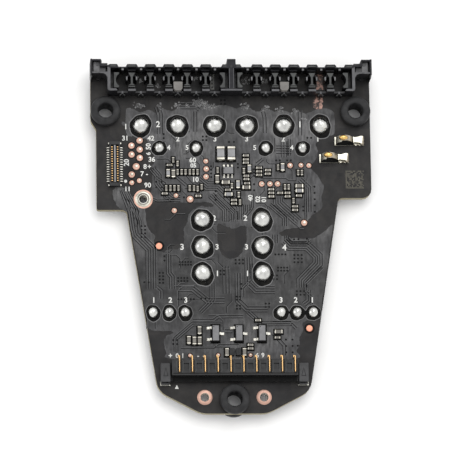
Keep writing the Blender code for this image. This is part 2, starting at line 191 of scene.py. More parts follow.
def along_board(tree, coords, stops):
    """Grey factor that changes from the front of the board to its rear."""
    split = add_node(tree, "SeparateXYZ", {"Vector": coords})
    front, rear = spot(0.0, BOARD_FRONT_Y).y, spot(0.0, -BOARD_FRONT_Y).y
    place = spread(tree, split.outputs["Y"], 0.0, 1.0, front, rear)
    span = -2.0 * BOARD_FRONT_Y
    return ramp(tree, place, [((y - BOARD_FRONT_Y) / span, grey) for y, grey in stops])


def coating_surface():
    """Clear coating over copper and mask: paler and glossier, streaked, darker before the middle."""
    mat, tree, shader, coords = new_material("clear_coating", (0.05, 0.05, 0.052), 0.3, 0.0, 0.34)
    tone = ramp(tree, noise_of(tree, coords, 6.0, 4.0),
                [(0.38, (0.018, 0.018, 0.0195)), (0.5, (0.04, 0.0395, 0.042)), (0.62, (0.07, 0.069, 0.07))])
    level = along_board(tree, coords, [(-22.0, 1.0), (-18.0, 0.85), (-14.5, 0.3), (-8.0, 0.22), (-3.0, 0.6),
                                       (4.0, 0.8), (15.0, 1.1), (20.0, 0.7)])
    streaks = ramp(tree, noise_of(tree, coords, 0.7, 6.0, (1.8, 0.5, 1.0)), [(0.38, 0.55), (0.66, 1.5)])
    colour = mixed(tree, 1.0, mixed(tree, 1.0, tone, streaks, "MULTIPLY"), level, "MULTIPLY")
    wire(tree, shader, colour, spread(tree, noise_of(tree, coords, 1.6), 0.18, 0.5))
    bump(tree, shader, noise_of(tree, coords, 0.8, 4.0), 0.5, 0.06)
    return mat


def mottled_surface(name, dark, light, size, metallic=0.0):
    """Two tones in small sharp-edged patches, as half-bared copper or worn print has."""
    mat, tree, shader, coords = new_material(name, light, 0.5, metallic)
    patches = noise_of(tree, coords, size, 3.0)
    wire(tree, shader, ramp(tree, patches, [(0.46, dark), (0.58, light)]), spread(tree, patches, 0.35, 0.6))
    bump(tree, shader, patches, 0.5, 0.03)
    return mat


def solder_surface():
    """Reflowed solder: bright, with frosted patches and soft dimples."""
    mat, tree, shader, coords = new_material("bright_solder", (0.82, 0.82, 0.81), 0.2, 1.0)
    frost = noise_of(tree, coords, 0.9, 3.0)
    tone = ramp(tree, frost, [(0.3, (0.5, 0.5, 0.49)), (0.5, (0.68, 0.68, 0.655)), (0.8, (0.84, 0.84, 0.8))])
    wire(tree, shader, tone, spread(tree, frost, 0.12, 0.32))
    bump(tree, shader, noise_of(tree, coords, 1.3, 1.0), 0.3, 0.04)
    return mat


def flux_surface():
    """Dark glossy flux residue around soldered joints."""
    mat, tree, shader, coords = new_material("flux_residue", (0.0015, 0.0015, 0.0015), 0.3, 0.0, 0.06)
    tone = ramp(tree, noise_of(tree, coords, 0.8, 6.0), [(0.45, 0.001), (0.75, (0.012, 0.011, 0.009))])
    wire(tree, shader, tone, spread(tree, noise_of(tree, coords, 0.5), 0.25, 0.5))
    bump(tree, shader, noise_of(tree, coords, 0.5), 0.4, 0.05)
    return mat


MASK = mask_surface()
COATING = coating_surface()
SOLDER = solder_surface()
FLUX = flux_surface()
GUIDE = plain_surface("guide_moulding", (0.009, 0.009, 0.0105), 0.4, 0.12, gloss=0.3)
# Painted light: a lighter grey of the guide's black moulding for its well-lit tops.
GUIDE_TOP = plain_surface("guide_painted_light_tops", (0.055, 0.055, 0.06), 0.42, 0.12, gloss=0.5)
# Painted light: a half-lit grey of the same moulding for tops and feet, and for the power connector's slot
# rims.
HALF_LIT_GREY = plain_surface("half_lit_grey_tops", (0.034, 0.036, 0.035), 0.45, 0.12, change=0.4, gloss=0.4)
HOUSING = plain_surface("housing_moulding", (0.012, 0.012, 0.0125), 0.4, 0.15, gloss=0.3)
END_CAP = plain_surface("end_cap_moulding", (0.032, 0.032, 0.034), 0.45, 0.15, gloss=0.4)
# Painted shade: a dim grey of the same moulding for tops that lie in shade.
GUIDE_DIM = plain_surface("guide_dim_tops", (0.012, 0.012, 0.015), 0.45, 0.12, gloss=0.18)
# Painted highlight: the brightest grey of the same moulding for lit tips, hooks and nubs.
GUIDE_LIT = plain_surface("guide_lit_tips", (0.13, 0.13, 0.135), 0.45, 0.12, change=0.3, gloss=0.4)
KEY = plain_surface("key_moulding", (0.165, 0.157, 0.147), 0.6, 0.1, change=0.14)
RUBBER = plain_surface("soft_rubber", (0.018, 0.018, 0.019), 0.6, 0.12, change=0.4, depth=0.02, gloss=0.3)
GOLD = plain_surface("gold_plate", (0.6, 0.38, 0.17), 0.28, 0.1, 1.0, change=0.14)
TIN = plain_surface("tin_plate", (0.42, 0.41, 0.37), 0.32, 0.15, 1.0, change=0.3)
CREAM = plain_surface("bright_spring_plate", (0.56, 0.54, 0.46), 0.3, 0.15, 1.0, change=0.3)
SPRING_TIN = plain_surface("dull_spring_plate", (0.44, 0.39, 0.31), 0.35, 0.15, 1.0, change=0.3)
NICKEL = plain_surface("nickel_ends", (0.46, 0.44, 0.385), 0.4, 0.15, 1.0, change=0.3)
COPPER = plain_surface("copper_pads", (0.5, 0.31, 0.245), 0.45, 0.12, 0.75, change=0.18)
SALMON = plain_surface("registration_dots", (0.75, 0.33, 0.22), 0.45, 0.12, 0.5, change=0.1)
CERAMIC = plain_surface("chip_ceramic", (0.15, 0.14, 0.12), 0.42, 0.12, change=0.35)
PALE_CERAMIC = plain_surface("capacitor_ceramic", (0.24, 0.24, 0.245), 0.42, 0.12, change=0.15)
# Painted sheen: paler grey for the top panel of the small packages.
RESIN = plain_surface("chip_moulding", (0.15, 0.15, 0.155), 0.42, 0.08, change=0.15)
# Painted shade: near black for the sides and dimple of the same packages.
RESIN_SHADED_SIDES = plain_surface("chip_shaded_sides", (0.01, 0.01, 0.0105), 0.5, 0.08, gloss=0.2)
DARK_RESIN = plain_surface("power_chip_moulding", (0.02, 0.02, 0.021), 0.5, 0.08, gloss=0.3)
FERRITE = plain_surface("ferrite_moulding", (0.018, 0.018, 0.019), 0.55, 0.1, gloss=0.3)
LEGEND = plain_surface("legend_ink", (0.66, 0.66, 0.63), 0.6, 0.06, change=0.14)
FAINT_INK = plain_surface("faint_code_ink", (0.05, 0.045, 0.03), 0.5, 0.06, change=0.25)
TRACE = plain_surface("coated_traces", (0.004, 0.004, 0.0045), 0.35, 0.2, change=0.3, gloss=0.12)
# Painted highlight: the pale strip along one side of each fine track.
TRACE_SIDE_HIGHLIGHT = plain_surface("trace_side_highlights", (0.05, 0.05, 0.052), 0.32, 0.2, change=0.5)
# Pale grey for the specks over vias, and painted highlight on the rims of the flux pools.
SPECK_AND_HIGHLIGHT = plain_surface("pale_specks_and_rim_highlights", (0.12, 0.119, 0.12), 0.32, 0.2, change=0.4)
GOLD_BUTTON = plain_surface("gold_button", (0.85, 0.56, 0.2), 0.22, 0.2, 1.0, change=0.12)
BARED_COPPER = mottled_surface("half_bared_copper", (0.02, 0.012, 0.01), (0.42, 0.25, 0.205), 0.45, 0.3)
WORN_STRIP = mottled_surface("worn_pale_strip", (0.03, 0.03, 0.028), (0.15, 0.148, 0.135), 0.5)
# Near black for dark marks and rings, and for painted shade: via middles, the patch under each spring finger,
# and the ledge and line along the power connector's front.
SHADE_AND_MARK_BLACK = plain_surface("black_marks_and_painted_shade", (0.005, 0.005, 0.005), 0.6, 0.1, gloss=0.1)


# ---------------- mesh helpers

def finish_mesh(name, bm, materials, body="board", smooth=None):
    """Object made from bm; smooth is the largest angle, in degrees, shaded as one surface."""
    bmesh.ops.recalc_face_normals(bm, faces=bm.faces)
    mesh = bpy.data.meshes.new(name)
    bm.to_mesh(mesh)
    bm.free()
    for mat in materials:
        mesh.materials.append(mat)
    if smooth is not None:
        mesh.shade_smooth()
        mesh.set_sharp_from_angle(angle=radians(smooth))
    obj = bpy.data.objects.new(name, mesh)
    bpy.context.scene.collection.objects.link(obj)
    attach(obj, body)
    return obj


def around(count):
    """Each place of a ring with the next one."""
    return [(i, (i + 1) % count) for i in range(count)]


def walled(bm, low, high, mat=0):
    """Closed solid between two matching rings of world points; its first face is the high one."""
    low, high = ([bm.verts.new(point) for point in ring] for ring in (low, high))
    faces = [bm.faces.new(high), bm.faces.new(low[::-1])]
    faces += [bm.faces.new((low[i], low[j], high[j], high[i])) for i, j in around(len(low))]
    for face in faces:
        face.material_index = mat
    return faces


def prism(bm, outline, z_low, z_high, mat=0):
    """Closed prism over a convex or nearly flat-sided outline of (x, y)."""
    low, high = ([spot(x, y, z) for x, y in outline] for z in (z_low, z_high))
    return walled(bm, low, high, mat)


def circle(x, y, radius, count=16, wobble=0.0, rng=None, squash=1.0):
    """Outline of a disc; wobble makes its edge uneven."""
    phases = [rng.uniform(0, 2 * pi) for _ in range(3)] if rng else (0, 0, 0)
    points = []
    for i in range(count):
        a = 2 * pi * i / count
        uneven = 0.5 * sin(2 * a + phases[0]) + 0.3 * sin(3 * a + phases[1]) + 0.2 * sin(7 * a + phases[2])
        r = radius * (1 + wobble * uneven)
        points.append((x + r * cos(a), y + r * squash * sin(a)))
    return points


def block(bm, centre, size, mat=0, edge=0.0, taper=1.0):
    """Box in board millimetres with bevelled edges; taper narrows its top."""
    start = set(bm.faces)
    matrix = Matrix.Translation(spot(*centre)) @ Matrix.Diagonal((*Vector(size) * MM, 1.0))
    made = bmesh.ops.create_cube(bm, size=1.0, matrix=matrix)
    middle = spot(*centre)
    if taper != 1.0:
        for vert in made["verts"]:
            if vert.co.z > middle.z:
                vert.co.x = middle.x + (vert.co.x - middle.x) * taper
                vert.co.y = middle.y + (vert.co.y - middle.y) * taper
    if edge:
        edges = list({e for v in made["verts"] for e in v.link_edges})
        bmesh.ops.bevel(bm, geom=edges, offset=edge * MM, segments=2, affect="EDGES", profile=0.5)
    for face in set(bm.faces) - start:
        face.material_index = mat


def path_normals(path):
    """Left normal at each point of a path, and the share of it that a mitre there keeps."""
    normals = []
    for i, here in enumerate(path):
        before = (here - path[i - 1]).normalized() if i else (path[1] - here).normalized()
        after = (path[i + 1] - here).normalized() if i < len(path) - 1 else before
        normal = Vector((-before.y - after.y, before.x + after.x)).normalized()
        normals.append((normal, max(0.5, normal.dot(Vector((-after.y, after.x))))))
    return normals


def offset_path(points, distance):
    """Path that runs beside points at a distance, with its bends in step."""
    path = [Vector(p) for p in points]
    return [tuple(here + normal * (distance / share))
            for here, (normal, share) in zip(path, path_normals(path))]


def ribbon(bm, points, width, z_low, z_high, mat=0):
    """Closed strip along points, mitred at its bends."""
    rings = []
    for a, b in zip(offset_path(points, width / 2), offset_path(points, -width / 2)):
        corners = ((a, z_low), (b, z_low), (b, z_high), (a, z_high))
        rings.append([bm.verts.new(spot(*place, z)) for place, z in corners])
    faces = [bm.faces.new(rings[0]), bm.faces.new(rings[-1][::-1])]
    for one, two in zip(rings, rings[1:]):
        faces += [bm.faces.new((one[i], two[i], two[j], one[j])) for i, j in around(4)]
    for face in faces:
        face.material_index = mat


def lathe(bm, profile, x, y, steps=32, mat=0, wobble=0.0, rng=None, stretch=1.0):
    """Turned solid round a standing axis; profile is (radius, z), and ends on the axis or closes."""
    phases = [rng.uniform(0, 2 * pi) for _ in range(2)] if rng else (0, 0)
    rings = []
    for r, z in profile:
        ring = []
        for i in range(steps if r else 1):
            a = 2 * pi * i / steps
            uneven = 1 + wobble * (0.6 * sin(2 * a + phases[0]) + 0.4 * sin(3 * a + phases[1] + z))
            ring.append(bm.verts.new(spot(x + r * uneven * cos(a), y + r * uneven * stretch * sin(a), z)))
        rings.append(ring)
    closing = [] if profile[0][0] == 0 else [(rings[-1], rings[0])]
    for upper, lower in list(zip(rings, rings[1:])) + closing:
        for i, j in around(steps):
            if len(upper) == 1:
                corners = (upper[0], lower[i], lower[j])
            elif len(lower) == 1:
                corners = (upper[i], lower[0], upper[j])
            else:
                corners = (upper[i], lower[i], lower[j], upper[j])
            bm.faces.new(corners).material_index = mat


def smooth_closed(points, per=4, wobble=0.0, rng=None):
    """Closed Catmull-Rom curve through points, with a slightly uneven edge."""
    count = len(points)
    outline = []
    for i in range(count):
        p0, p1, p2, p3 = (Vector(points[(i + k) % count]) for k in (-1, 0, 1, 2))
        for k in range(per):
            t = k / per
            place = 0.5 * (2 * p1 + (p2 - p0) * t + (2 * p0 - 5 * p1 + 4 * p2 - p3) * t * t
                           + (3 * p1 - p0 - 3 * p2 + p3) * t ** 3)
            if wobble:
                place += Vector((rng.uniform(-wobble, wobble), rng.uniform(-wobble, wobble)))
            outline.append(tuple(place))
    return outline


def take_mesh(bm, curve, place):
    """Adds the solid that a curve makes to bm, at its place, and drops the curve."""
    helper = bpy.data.objects.new(curve.name, curve)
    bpy.context.scene.collection.objects.link(helper)
    bpy.context.view_layer.update()
    mesh = bpy.data.meshes.new_from_object(helper.evaluated_get(bpy.context.evaluated_depsgraph_get()))
    mesh.transform(place)
    bm.from_mesh(mesh)
    bpy.data.objects.remove(helper, do_unlink=True)
    bpy.data.meshes.remove(mesh)
    bpy.data.curves.remove(curve)


def film(name, outlines, z_low, z_high, mat):
    """Thin sheet between outlines, holes included, as one mesh."""
    curve = bpy.data.curves.new(name, "CURVE")
    curve.dimensions = "2D"
    curve.fill_mode = "BOTH"
    curve.extrude = (z_high - z_low) / 2 * MM
    for points in outlines:
        spline = curve.splines.new("POLY")
        spline.points.add(len(points) - 1)
        for point, (x, y) in zip(spline.points, points):
            point.co = (x * MM, y * MM, 0.0, 1.0)
        spline.use_cyclic_u = True
    bm = bmesh.new()
    take_mesh(bm, curve, Matrix.Translation(spot(0.0, 0.0, (z_low + z_high) / 2)))
    bmesh.ops.remove_doubles(bm, verts=bm.verts, dist=0.001 * MM)
    return finish_mesh(name, bm, [mat])


# ---------------- coating

COAT_TOP = 0.03

UPPER_EDGE = [           # the coating's edge runs along these three and closes
    (-17.1, 19.3), (-15.9, 19.4), (-15, 18.9), (-13.4, 19.2), (-12.2, 18.8), (-11, 19.3), (-9.6, 19.1),
    (-8.2, 19.8), (-6.4, 20), (-5.4, 21), (-4.2, 20.9), (-3.2, 19.9), (-2, 20.1), (-0.4, 20), (1, 19.6),
    (2.2, 20), (3.4, 19.5), (4.4, 19), (6, 19.4), (7.2, 19), (8.5, 19.3), (9.8, 18.8), (10.8, 19.2),
    (12.2, 18.7), (13, 18.9), (14.8, 19.6), (16.9, 19.1), (17.1, 17), (16.9, 15.1), (14.9, 14.9),
    (14, 13.6), (14.3, 12.2), (13.7, 10.8), (13, 9.6), (13.9, 8.6), (14.6, 7.4), (15.2, 6.2), (14.7, 4.6),
    (14.9, 3.1), (14.2, 2.3), (13, 1.5), (12.2, 0.4), (11, -0.4), (9.4, -0.6), (7.7, -1.3)]
RIGHT_EDGE = [
    (8.6, -2.1), (10.5, -2.2), (13.2, -2.2), (15, -1.1), (16.5, 0), (15.9, -3.9), (15.3, -7.9),
    (14.6, -11.8), (14.25, -14.2), (13.7, -15.6), (12.4, -15.8), (11.2, -16.3), (11.3, -17.6),
    (10.7, -18.7), (10.7, -19.8), (10.2, -20.8), (10.1, -22.1)]
LEFT_EDGE = [
    (0, -22.2), (-10.3, -22.1), (-10.9, -21), (-11.4, -19.4), (-10.8, -18.3), (-9.8, -17.9), (-10.4, -17.5),
    (-13.4, -17.4), (-14.1, -15.9), (-14.6, -11.8), (-15.3, -7.9), (-15.9, -3.9), (-16.5, -0.3), (-17, 1.9),
    (-18.3, 2.8), (-19.1, 3.8), (-19.5, 5.2), (-19, 6.2), (-17.8, 6.3), (-16.8, 5.6), (-16.2, 4.6),
    (-14.6, 3.9), (-13.2, 5), (-12.9, 8), (-12.6, 11.2), (-13, 12.8), (-14, 14.4), (-15.6, 14.9),
    (-17.1, 15.2)]
BARE_LEFT = [
    (-13.8, 3.5), (-11, 3.9), (-8, 3.7), (-5, 3.8), (-3.1, 3.5), (-3.4, 3), (-5.2, 3.1), (-6.9, 2),
    (-7.3, 0.6), (-7.9, -0.8), (-7.9, -2.8), (-8.9, -4), (-10.4, -4.1), (-11.2, -4.5), (-12.4, -4.1),
    (-12.8, -2.9), (-12.6, -1.7), (-13.6, -0.8), (-14, 0.6)]
BARE_MIDDLE = [
    (-2.4, 0.1), (-1, -0.3), (0.5, -0.6), (1.5, -0.2), (2.3, -0.4), (2.3, -2.6), (1.7, -4.1), (1.1, -5.1),
    (-0.3, -5.6), (-1.6, -5), (-2.3, -3.2)]
BLOTCHES = [(-17.5, 16.9, 0.35), (16.4, 18.7, 0.5), (-12.4, 9.9, 0.5), (-9.4, 17.6, 0.6), (9.2, 16.2, 0.5)]
SPECKLES = [             # (x, y, reach, number of specks)
    (-14.75, 19.9, 0.7, 26), (-11.6, 19.9, 0.6, 12), (-8.9, 20, 0.7, 22), (-7.1, 20.1, 0.4, 10),
    (-5.2, 20.3, 1, 46), (-3.9, 19.9, 0.8, 30), (-2.8, 19.9, 0.5, 16), (2.6, 19.9, 0.8, 20),
    (5.7, 19.6, 0.6, 20), (8.1, 19.5, 0.7, 16), (10.6, 19.3, 0.6, 14), (14.4, 20.4, 0.5, 10),
    (12.3, 17.6, 0.7, 12), (-14.76, 24.3, 0.5, 12), (-11.74, 23.2, 0.5, 9), (-5.7, 24.6, 0.4, 9),
    (2.68, 24, 0.6, 14), (5.7, 24.2, 0.5, 9)]


def make_coating():
    """Clear film over most of the board, with two bare areas, and a few stray blotches of it."""
    rng = random.Random(3)
    outer = smooth_closed(UPPER_EDGE + RIGHT_EDGE + LEFT_EDGE, 5, 0.08, rng)
    holes = [smooth_closed(edge, 5, 0.09, rng) for edge in (BARE_LEFT, BARE_MIDDLE)]
    film("clear_coating_film", [outer] + holes, SKIN, COAT_TOP, COATING)
    bm = bmesh.new()
    for x, y, radius in BLOTCHES:
        prism(bm, circle(x, y, radius, 22, 0.35, rng), SKIN, COAT_TOP + 0.012)
    finish_mesh("coating_blotches", bm, [COATING])


def make_speckles():
    """Small pale and dark specks where the coating breaks up over groups of filled vias."""
    rng = random.Random(17)
    bm = bmesh.new()
    for x, y, reach, count in SPECKLES:
        for _ in range(count):
            place = (x + rng.gauss(0.0, 0.5) * reach, y + rng.gauss(0.0, 0.42) * reach)
            radius = rng.uniform(0.07, 0.17)
            prism(bm, circle(*place, radius, 9, 0.3, rng), SKIN, COAT_TOP + 0.01 + rng.uniform(0.0, 0.01), 0)
            if rng.random() < 0.6:
                prism(bm, circle(*place, radius * 0.55, 8), SKIN, COAT_TOP + 0.024, 1)
    finish_mesh("coating_specks", bm, [SPECK_AND_HIGHLIGHT, SHADE_AND_MARK_BLACK])


# ---------------- traces, vias and pads

TRACE_BUNDLES = [        # (path of the middle, number of tracks, pitch)
    ([(-5.4, 7.7), (-4, 6.5), (-2.2, 6.5), (1.2, 3), (1.2, 0.9)], 5, 0.36),
    ([(-3.4, 5), (-1, 2.6), (-1, 0.6)], 4, 0.36),
    ([(2.6, 3.4), (2.6, 2.2), (1.9, 1.4)], 3, 0.36),
    ([(7.6, 4.6), (7.6, 3.6), (10.8, 0.6)], 5, 0.38),
    ([(11.2, 7.6), (12.6, 6.2), (12.6, 2.2)], 3, 0.4),
    ([(4.8, 7.8), (8.9, 7.8), (9.4, 7.4), (10.6, 7.4), (10.6, 8.4)], 1, 0.3),
    ([(8.7, 14), (8.7, 11.3)], 3, 0.45),
    ([(-12.4, 8), (-10.9, 6.9), (-10.9, 4.6), (-10.2, 4.3)], 2, 0.35),
    ([(-9, 8), (-7.4, 6.6)], 2, 0.4),
    ([(-16.2, 3), (-15.6, -1.6), (-13.3, -4), (-13.3, -10.6)], 5, 0.4),
    ([(-17.9, 5.9), (-17.4, 4.4), (-16.6, 2.2), (-16.2, -1)], 3, 0.38),
    ([(-10.4, -4.8), (-10.4, -8), (-9.9, -8.6), (-9.9, -10.6)], 3, 0.38),
    ([(-8.8, -10.6), (-6.6, -10.6), (-4.2, -12.6), (-1.4, -12.6)], 3, 0.42),
    ([(-11.6, -12.2), (-11.6, -10.9), (-12.4, -10.2)], 2, 0.4),
    ([(8.6, -2.6), (9.4, -3.5), (12.2, -3.5), (13.9, -5.2), (13.9, -6.4), (11.2, -9.2), (11.2, -10.4)],
     5, 0.38),
    ([(7, -1.6), (7, -3)], 3, 0.4),
    ([(12.3, -10.8), (12.3, -12.6), (11.5, -13.2)], 3, 0.4),
    ([(2.6, -5.4), (2.6, -9.6), (3.8, -10.8), (6.8, -10.8)], 4, 0.4),
    ([(-1.1, -6.8), (-1.1, -11.4)], 3, 0.5),
    ([(0.8, -8), (0.8, -12.6), (2.2, -14), (5.6, -14)], 3, 0.42),
    ([(-6.6, -15.8), (-3.2, -15.8), (-2.4, -15.2), (1.6, -15.2)], 2, 0.4),
    ([(6.4, -16.2), (9.2, -16.2), (10.2, -17.2)], 2, 0.4),
    ([(-8.6, -20.4), (-3.2, -20.4), (-2.4, -19.8), (0.8, -19.8)], 1, 0.4),
    ([(-1.4, -17.6), (-0.2, -17.6)], 2, 0.5),
    ([(6.4, -18), (8.2, -20), (8.2, -21.6)], 2, 0.45),
    ([(-8.2, 19.9), (-5.4, 19.9), (-4.9, 19.4)], 3, 0.45),
    ([(5.2, 19.6), (5.6, 18), (5.6, 15.4)], 2, 0.5),
    ([(-12, 19.8), (-11.6, 18.4), (-11.6, 15.2)], 3, 0.45),
    ([(11.4, 19.2), (11.4, 15)], 2, 0.5),
    ([(-5.8, 15.6), (-5.8, 19)], 2, 0.5),
    ([(-13, 9.4), (-12, 8.2), (-12, 6.9), (-10.6, 5.2), (-9.8, 4.4), (-8.4, 4.4)], 4, 0.34),
    ([(-13.4, 4.6), (-12.2, 4), (-9.4, 4.1)], 2, 0.3),
    ([(-17.6, 6), (-17, 4.6), (-15.9, 2.6), (-15.3, 0.6), (-15.3, -1.4)], 4, 0.32),
    ([(-12.2, 11), (-10.4, 11), (-9.8, 10.4)], 1, 0.3),
    ([(-7.4, 8.2), (-6.6, 7.2), (-4.8, 5.4)], 1, 0.3),
    ([(-2.6, 5), (0.4, 2), (0.4, 0.6)], 4, 0.3),
    ([(3.4, 5.2), (3.4, 3), (2.9, 2.2)], 2, 0.32),
    ([(6.2, 3.4), (8.6, 1.2), (8.6, -0.2)], 3, 0.34),
    ([(12.1, 7.8), (12.1, 1)], 2, 0.3),
    ([(5.2, 11), (4.2, 10.2)], 2, 0.4),
    ([(7.2, 12.2), (7.2, 14.6)], 1, 0.3),
    ([(9.6, 11.6), (9.6, 14.4)], 2, 0.36),
    ([(7.4, 12.6), (9.9, 12.6)], 4, 0.42),
    ([(3, -6.4), (3, -9), (1.6, -10.4), (1.6, -12)], 2, 0.35),
    ([(-3.4, -9.6), (-3.4, -12.4), (-5.4, -14.4)], 3, 0.35),
    ([(-8.9, -13.4), (-8.9, -11), (-8.2, -10.3), (-6.2, -10.3)], 1, 0.3),
    ([(-9.4, -21), (-9.4, -18.8), (-6.6, -16.4), (-1.8, -16.4)], 3, 0.32),
    ([(-5.2, -20.2), (-1.8, -20.2)], 1, 0.3),
    ([(9.6, -16.4), (4.6, -16.4), (2.4, -14.4)], 3, 0.34),
    ([(12.8, -2.6), (12, -3.2), (9.6, -3.2), (8.8, -2.4), (8.8, -1.8)], 3, 0.32),
    ([(14.6, -7), (11.8, -9.8), (11.8, -11), (12.8, -12), (12.8, -13.2)], 2, 0.34),
    ([(-13.4, -15.4), (-13.4, -17.2)], 2, 1.4),
]

VIA_GRIDS = [        # (x, y, columns, rows, pitch)
    (-14.8, -2, 2, 4, 0.6), (-11.1, -5.9, 1, 2, 0.7), (-8.6, -6.6, 5, 2, 0.45), (-8.9, -9.3, 4, 2, 0.5),
    (-11.9, -9.6, 2, 4, 0.55), (-14.4, -9.5, 2, 1, 0.7), (-8.9, -12.3, 6, 1, 0.5), (0.5, -6.4, 3, 2, 0.6),
    (0.6, -12.4, 2, 2, 0.5), (0.6, -13.9, 2, 2, 0.5), (5.3, -13.6, 2, 2, 0.55), (10.1, -6.2, 3, 3, 0.6),
    (7.4, -7.6, 4, 2, 0.5), (10.4, -11.6, 3, 2, 0.6), (7, -4.9, 4, 1, 0.55), (10.1, -2.4, 2, 1, 0.7),
    (12.2, -3.1, 1, 2, 0.8), (8.5, -21.1, 2, 3, 1.05), (10.4, -20, 1, 1, 1), (-9.8, -19.7, 2, 2, 0.65),
    (-2.6, 4.2, 1, 3, 0.7), (7.4, 10.8, 2, 1, 0.6), (9.2, 10.8, 2, 1, 0.6), (3.75, 8.2, 1, 3, 0.55),
    (3.7, 5.8, 1, 2, 1), (1.1, 9.6, 1, 2, 0.6), (-12.3, 6.3, 2, 2, 0.9), (13.6, 2.2, 1, 5, 1.05),
    (11.7, 2.4, 1, 2, 0.65), (-3.3, 8, 1, 4, 0.6), (6.6, -9, 2, 2, 0.6), (-2, -8.2, 2, 2, 0.6),
    (-5.2, -12.2, 3, 1, 0.7), (1.4, -10.6, 1, 2, 0.8), (-1.5, 20.3, 2, 2, 0.6), (-11, 13.8, 1, 3, 0.7),
    (-0.3, 13.9, 2, 1, 0.8), (-4.6, 14.2, 2, 2, 0.6), (12.6, 14.6, 2, 1, 0.6), (-7.8, 4.6, 2, 1, 0.6)]

TEST_PADS = [            # (x, y, radius)
    (-14.95, 14.1, 0.58), (-16.3, 13.25, 0.58), (-14.95, 12.6, 0.58), (-16.3, 11.75, 0.58),
    (-14.95, 11.2, 0.58), (-15.55, 9.75, 0.62), (-16.3, 8.4, 0.58), (-15.05, 7.4, 0.45),
    (-16.3, 7.05, 0.45), (-4.15, 10.65, 0.45), (-4.1, 9.35, 0.5), (-4.15, 8.05, 0.5), (9.65, 9.95, 0.5),
    (11.45, 10, 0.45), (12.75, 9.95, 0.45), (4.95, 6.85, 0.5), (6.3, 6.85, 0.5), (7.55, 6.85, 0.5),
    (-9.1, 4.9, 0.42), (-6.8, 4.3, 0.6), (-9.4, 2.4, 0.48), (11.8, 0.35, 0.55), (-7.1, -21.6, 0.35),
    (-2.55, -21.55, 0.35), (2.7, -21.55, 0.35)]
REGISTRATION_DOTS = [(-11.95, -3.5), (12.35, -17.15)]
PLATED_HOLES = [(-4.8, -28.45), (4.8, -28.45)]


def make_traces():
    """Bundles of fine tracks; each dark track has a thin paler strip along one side of it, a painted
    highlight.
    """
    bm = bmesh.new()
    for points, count, pitch in TRACE_BUNDLES:
        for k in range(count):
            run = offset_path(points, (k - (count - 1) / 2) * pitch)
            ribbon(bm, run, 0.13, 0.01, COAT_TOP + 0.006)
            ribbon(bm, offset_path(run, 0.13), 0.07, 0.01, COAT_TOP + 0.012, 1)
    finish_mesh("fine_tracks", bm, [TRACE, TRACE_SIDE_HIGHLIGHT])


def make_stray_tracks():
    """Single fine tracks at odd places between the bundles, each with a painted highlight along one side."""
    rng = random.Random(41)
    bm = bmesh.new()
    for _ in range(45):
        here = Vector((rng.uniform(-11.5, 11.5), rng.uniform(-15.5, 17.5)))
        angle = rng.choice((0, 90, 180, 270))
        points = [here]
        for _ in range(3):
            here = here + Vector((cos(radians(angle)), sin(radians(angle)))) * rng.uniform(0.4, 1.5)
            points.append(here)
            angle += rng.choice((-45, 45))
        ribbon(bm, points, 0.11, SKIN, COAT_TOP + 0.004)
        ribbon(bm, offset_path(points, 0.11), 0.06, SKIN, COAT_TOP + 0.009, 1)
    finish_mesh("stray_tracks", bm, [TRACE, TRACE_SIDE_HIGHLIGHT])


def make_vias():
    """Plated holes: a low ring round a dark disc, painted shade where the hole is."""
    bm = bmesh.new()
    for x0, y0, columns, rows, pitch in VIA_GRIDS:
        for i in range(columns):
            for j in range(rows):
                x, y = x0 + i * pitch, y0 + j * pitch
                ring = [(0.09, COAT_TOP + 0.02), (0.16, COAT_TOP + 0.02), (0.19, 0.012), (0.09, 0.012)]
                lathe(bm, ring, x, y, 12, 1)
                prism(bm, circle(x, y, 0.1, 10), 0.012, COAT_TOP + 0.012, 0)
    finish_mesh("vias", bm, [SHADE_AND_MARK_BLACK, TRACE])


def pad_profile(radius, rise):
    """Flat pad with a softly rounded edge, from its middle on top to its middle underneath."""
    return [(0, rise), (radius * 0.7, rise), (radius * 0.93, rise * 0.8), (radius, rise * 0.4),
            (radius, 0.005), (0, 0.005)]


def make_pads():
    """Copper test pads, each with a smaller dome of brighter metal in the middle as painted highlight, on a
    dark ring, and the two registration dots.
    """
    bm = bmesh.new()
    for x, y, radius in TEST_PADS:
        prism(bm, circle(x, y, radius + 0.1, 24), SKIN, COAT_TOP + 0.008, 1)
        lathe(bm, pad_profile(radius * 0.94, 0.08), x, y, 24)
        # Painted highlight: a brighter metal dome, set a little off the middle.
        lathe(bm, pad_profile(radius * 0.45, 0.14), x + 0.05, y + 0.06, 16, 2)
    finish_mesh("test_pads", bm, [COPPER, SHADE_AND_MARK_BLACK, CREAM], smooth=50)
    bm = bmesh.new()
    for x, y in REGISTRATION_DOTS:
        prism(bm, circle(x, y, 0.85, 28), SKIN, COAT_TOP + 0.006, 1)
        lathe(bm, pad_profile(0.53, 0.07), x, y, 28)
    finish_mesh("registration_dots", bm, [SALMON, SHADE_AND_MARK_BLACK], smooth=50)


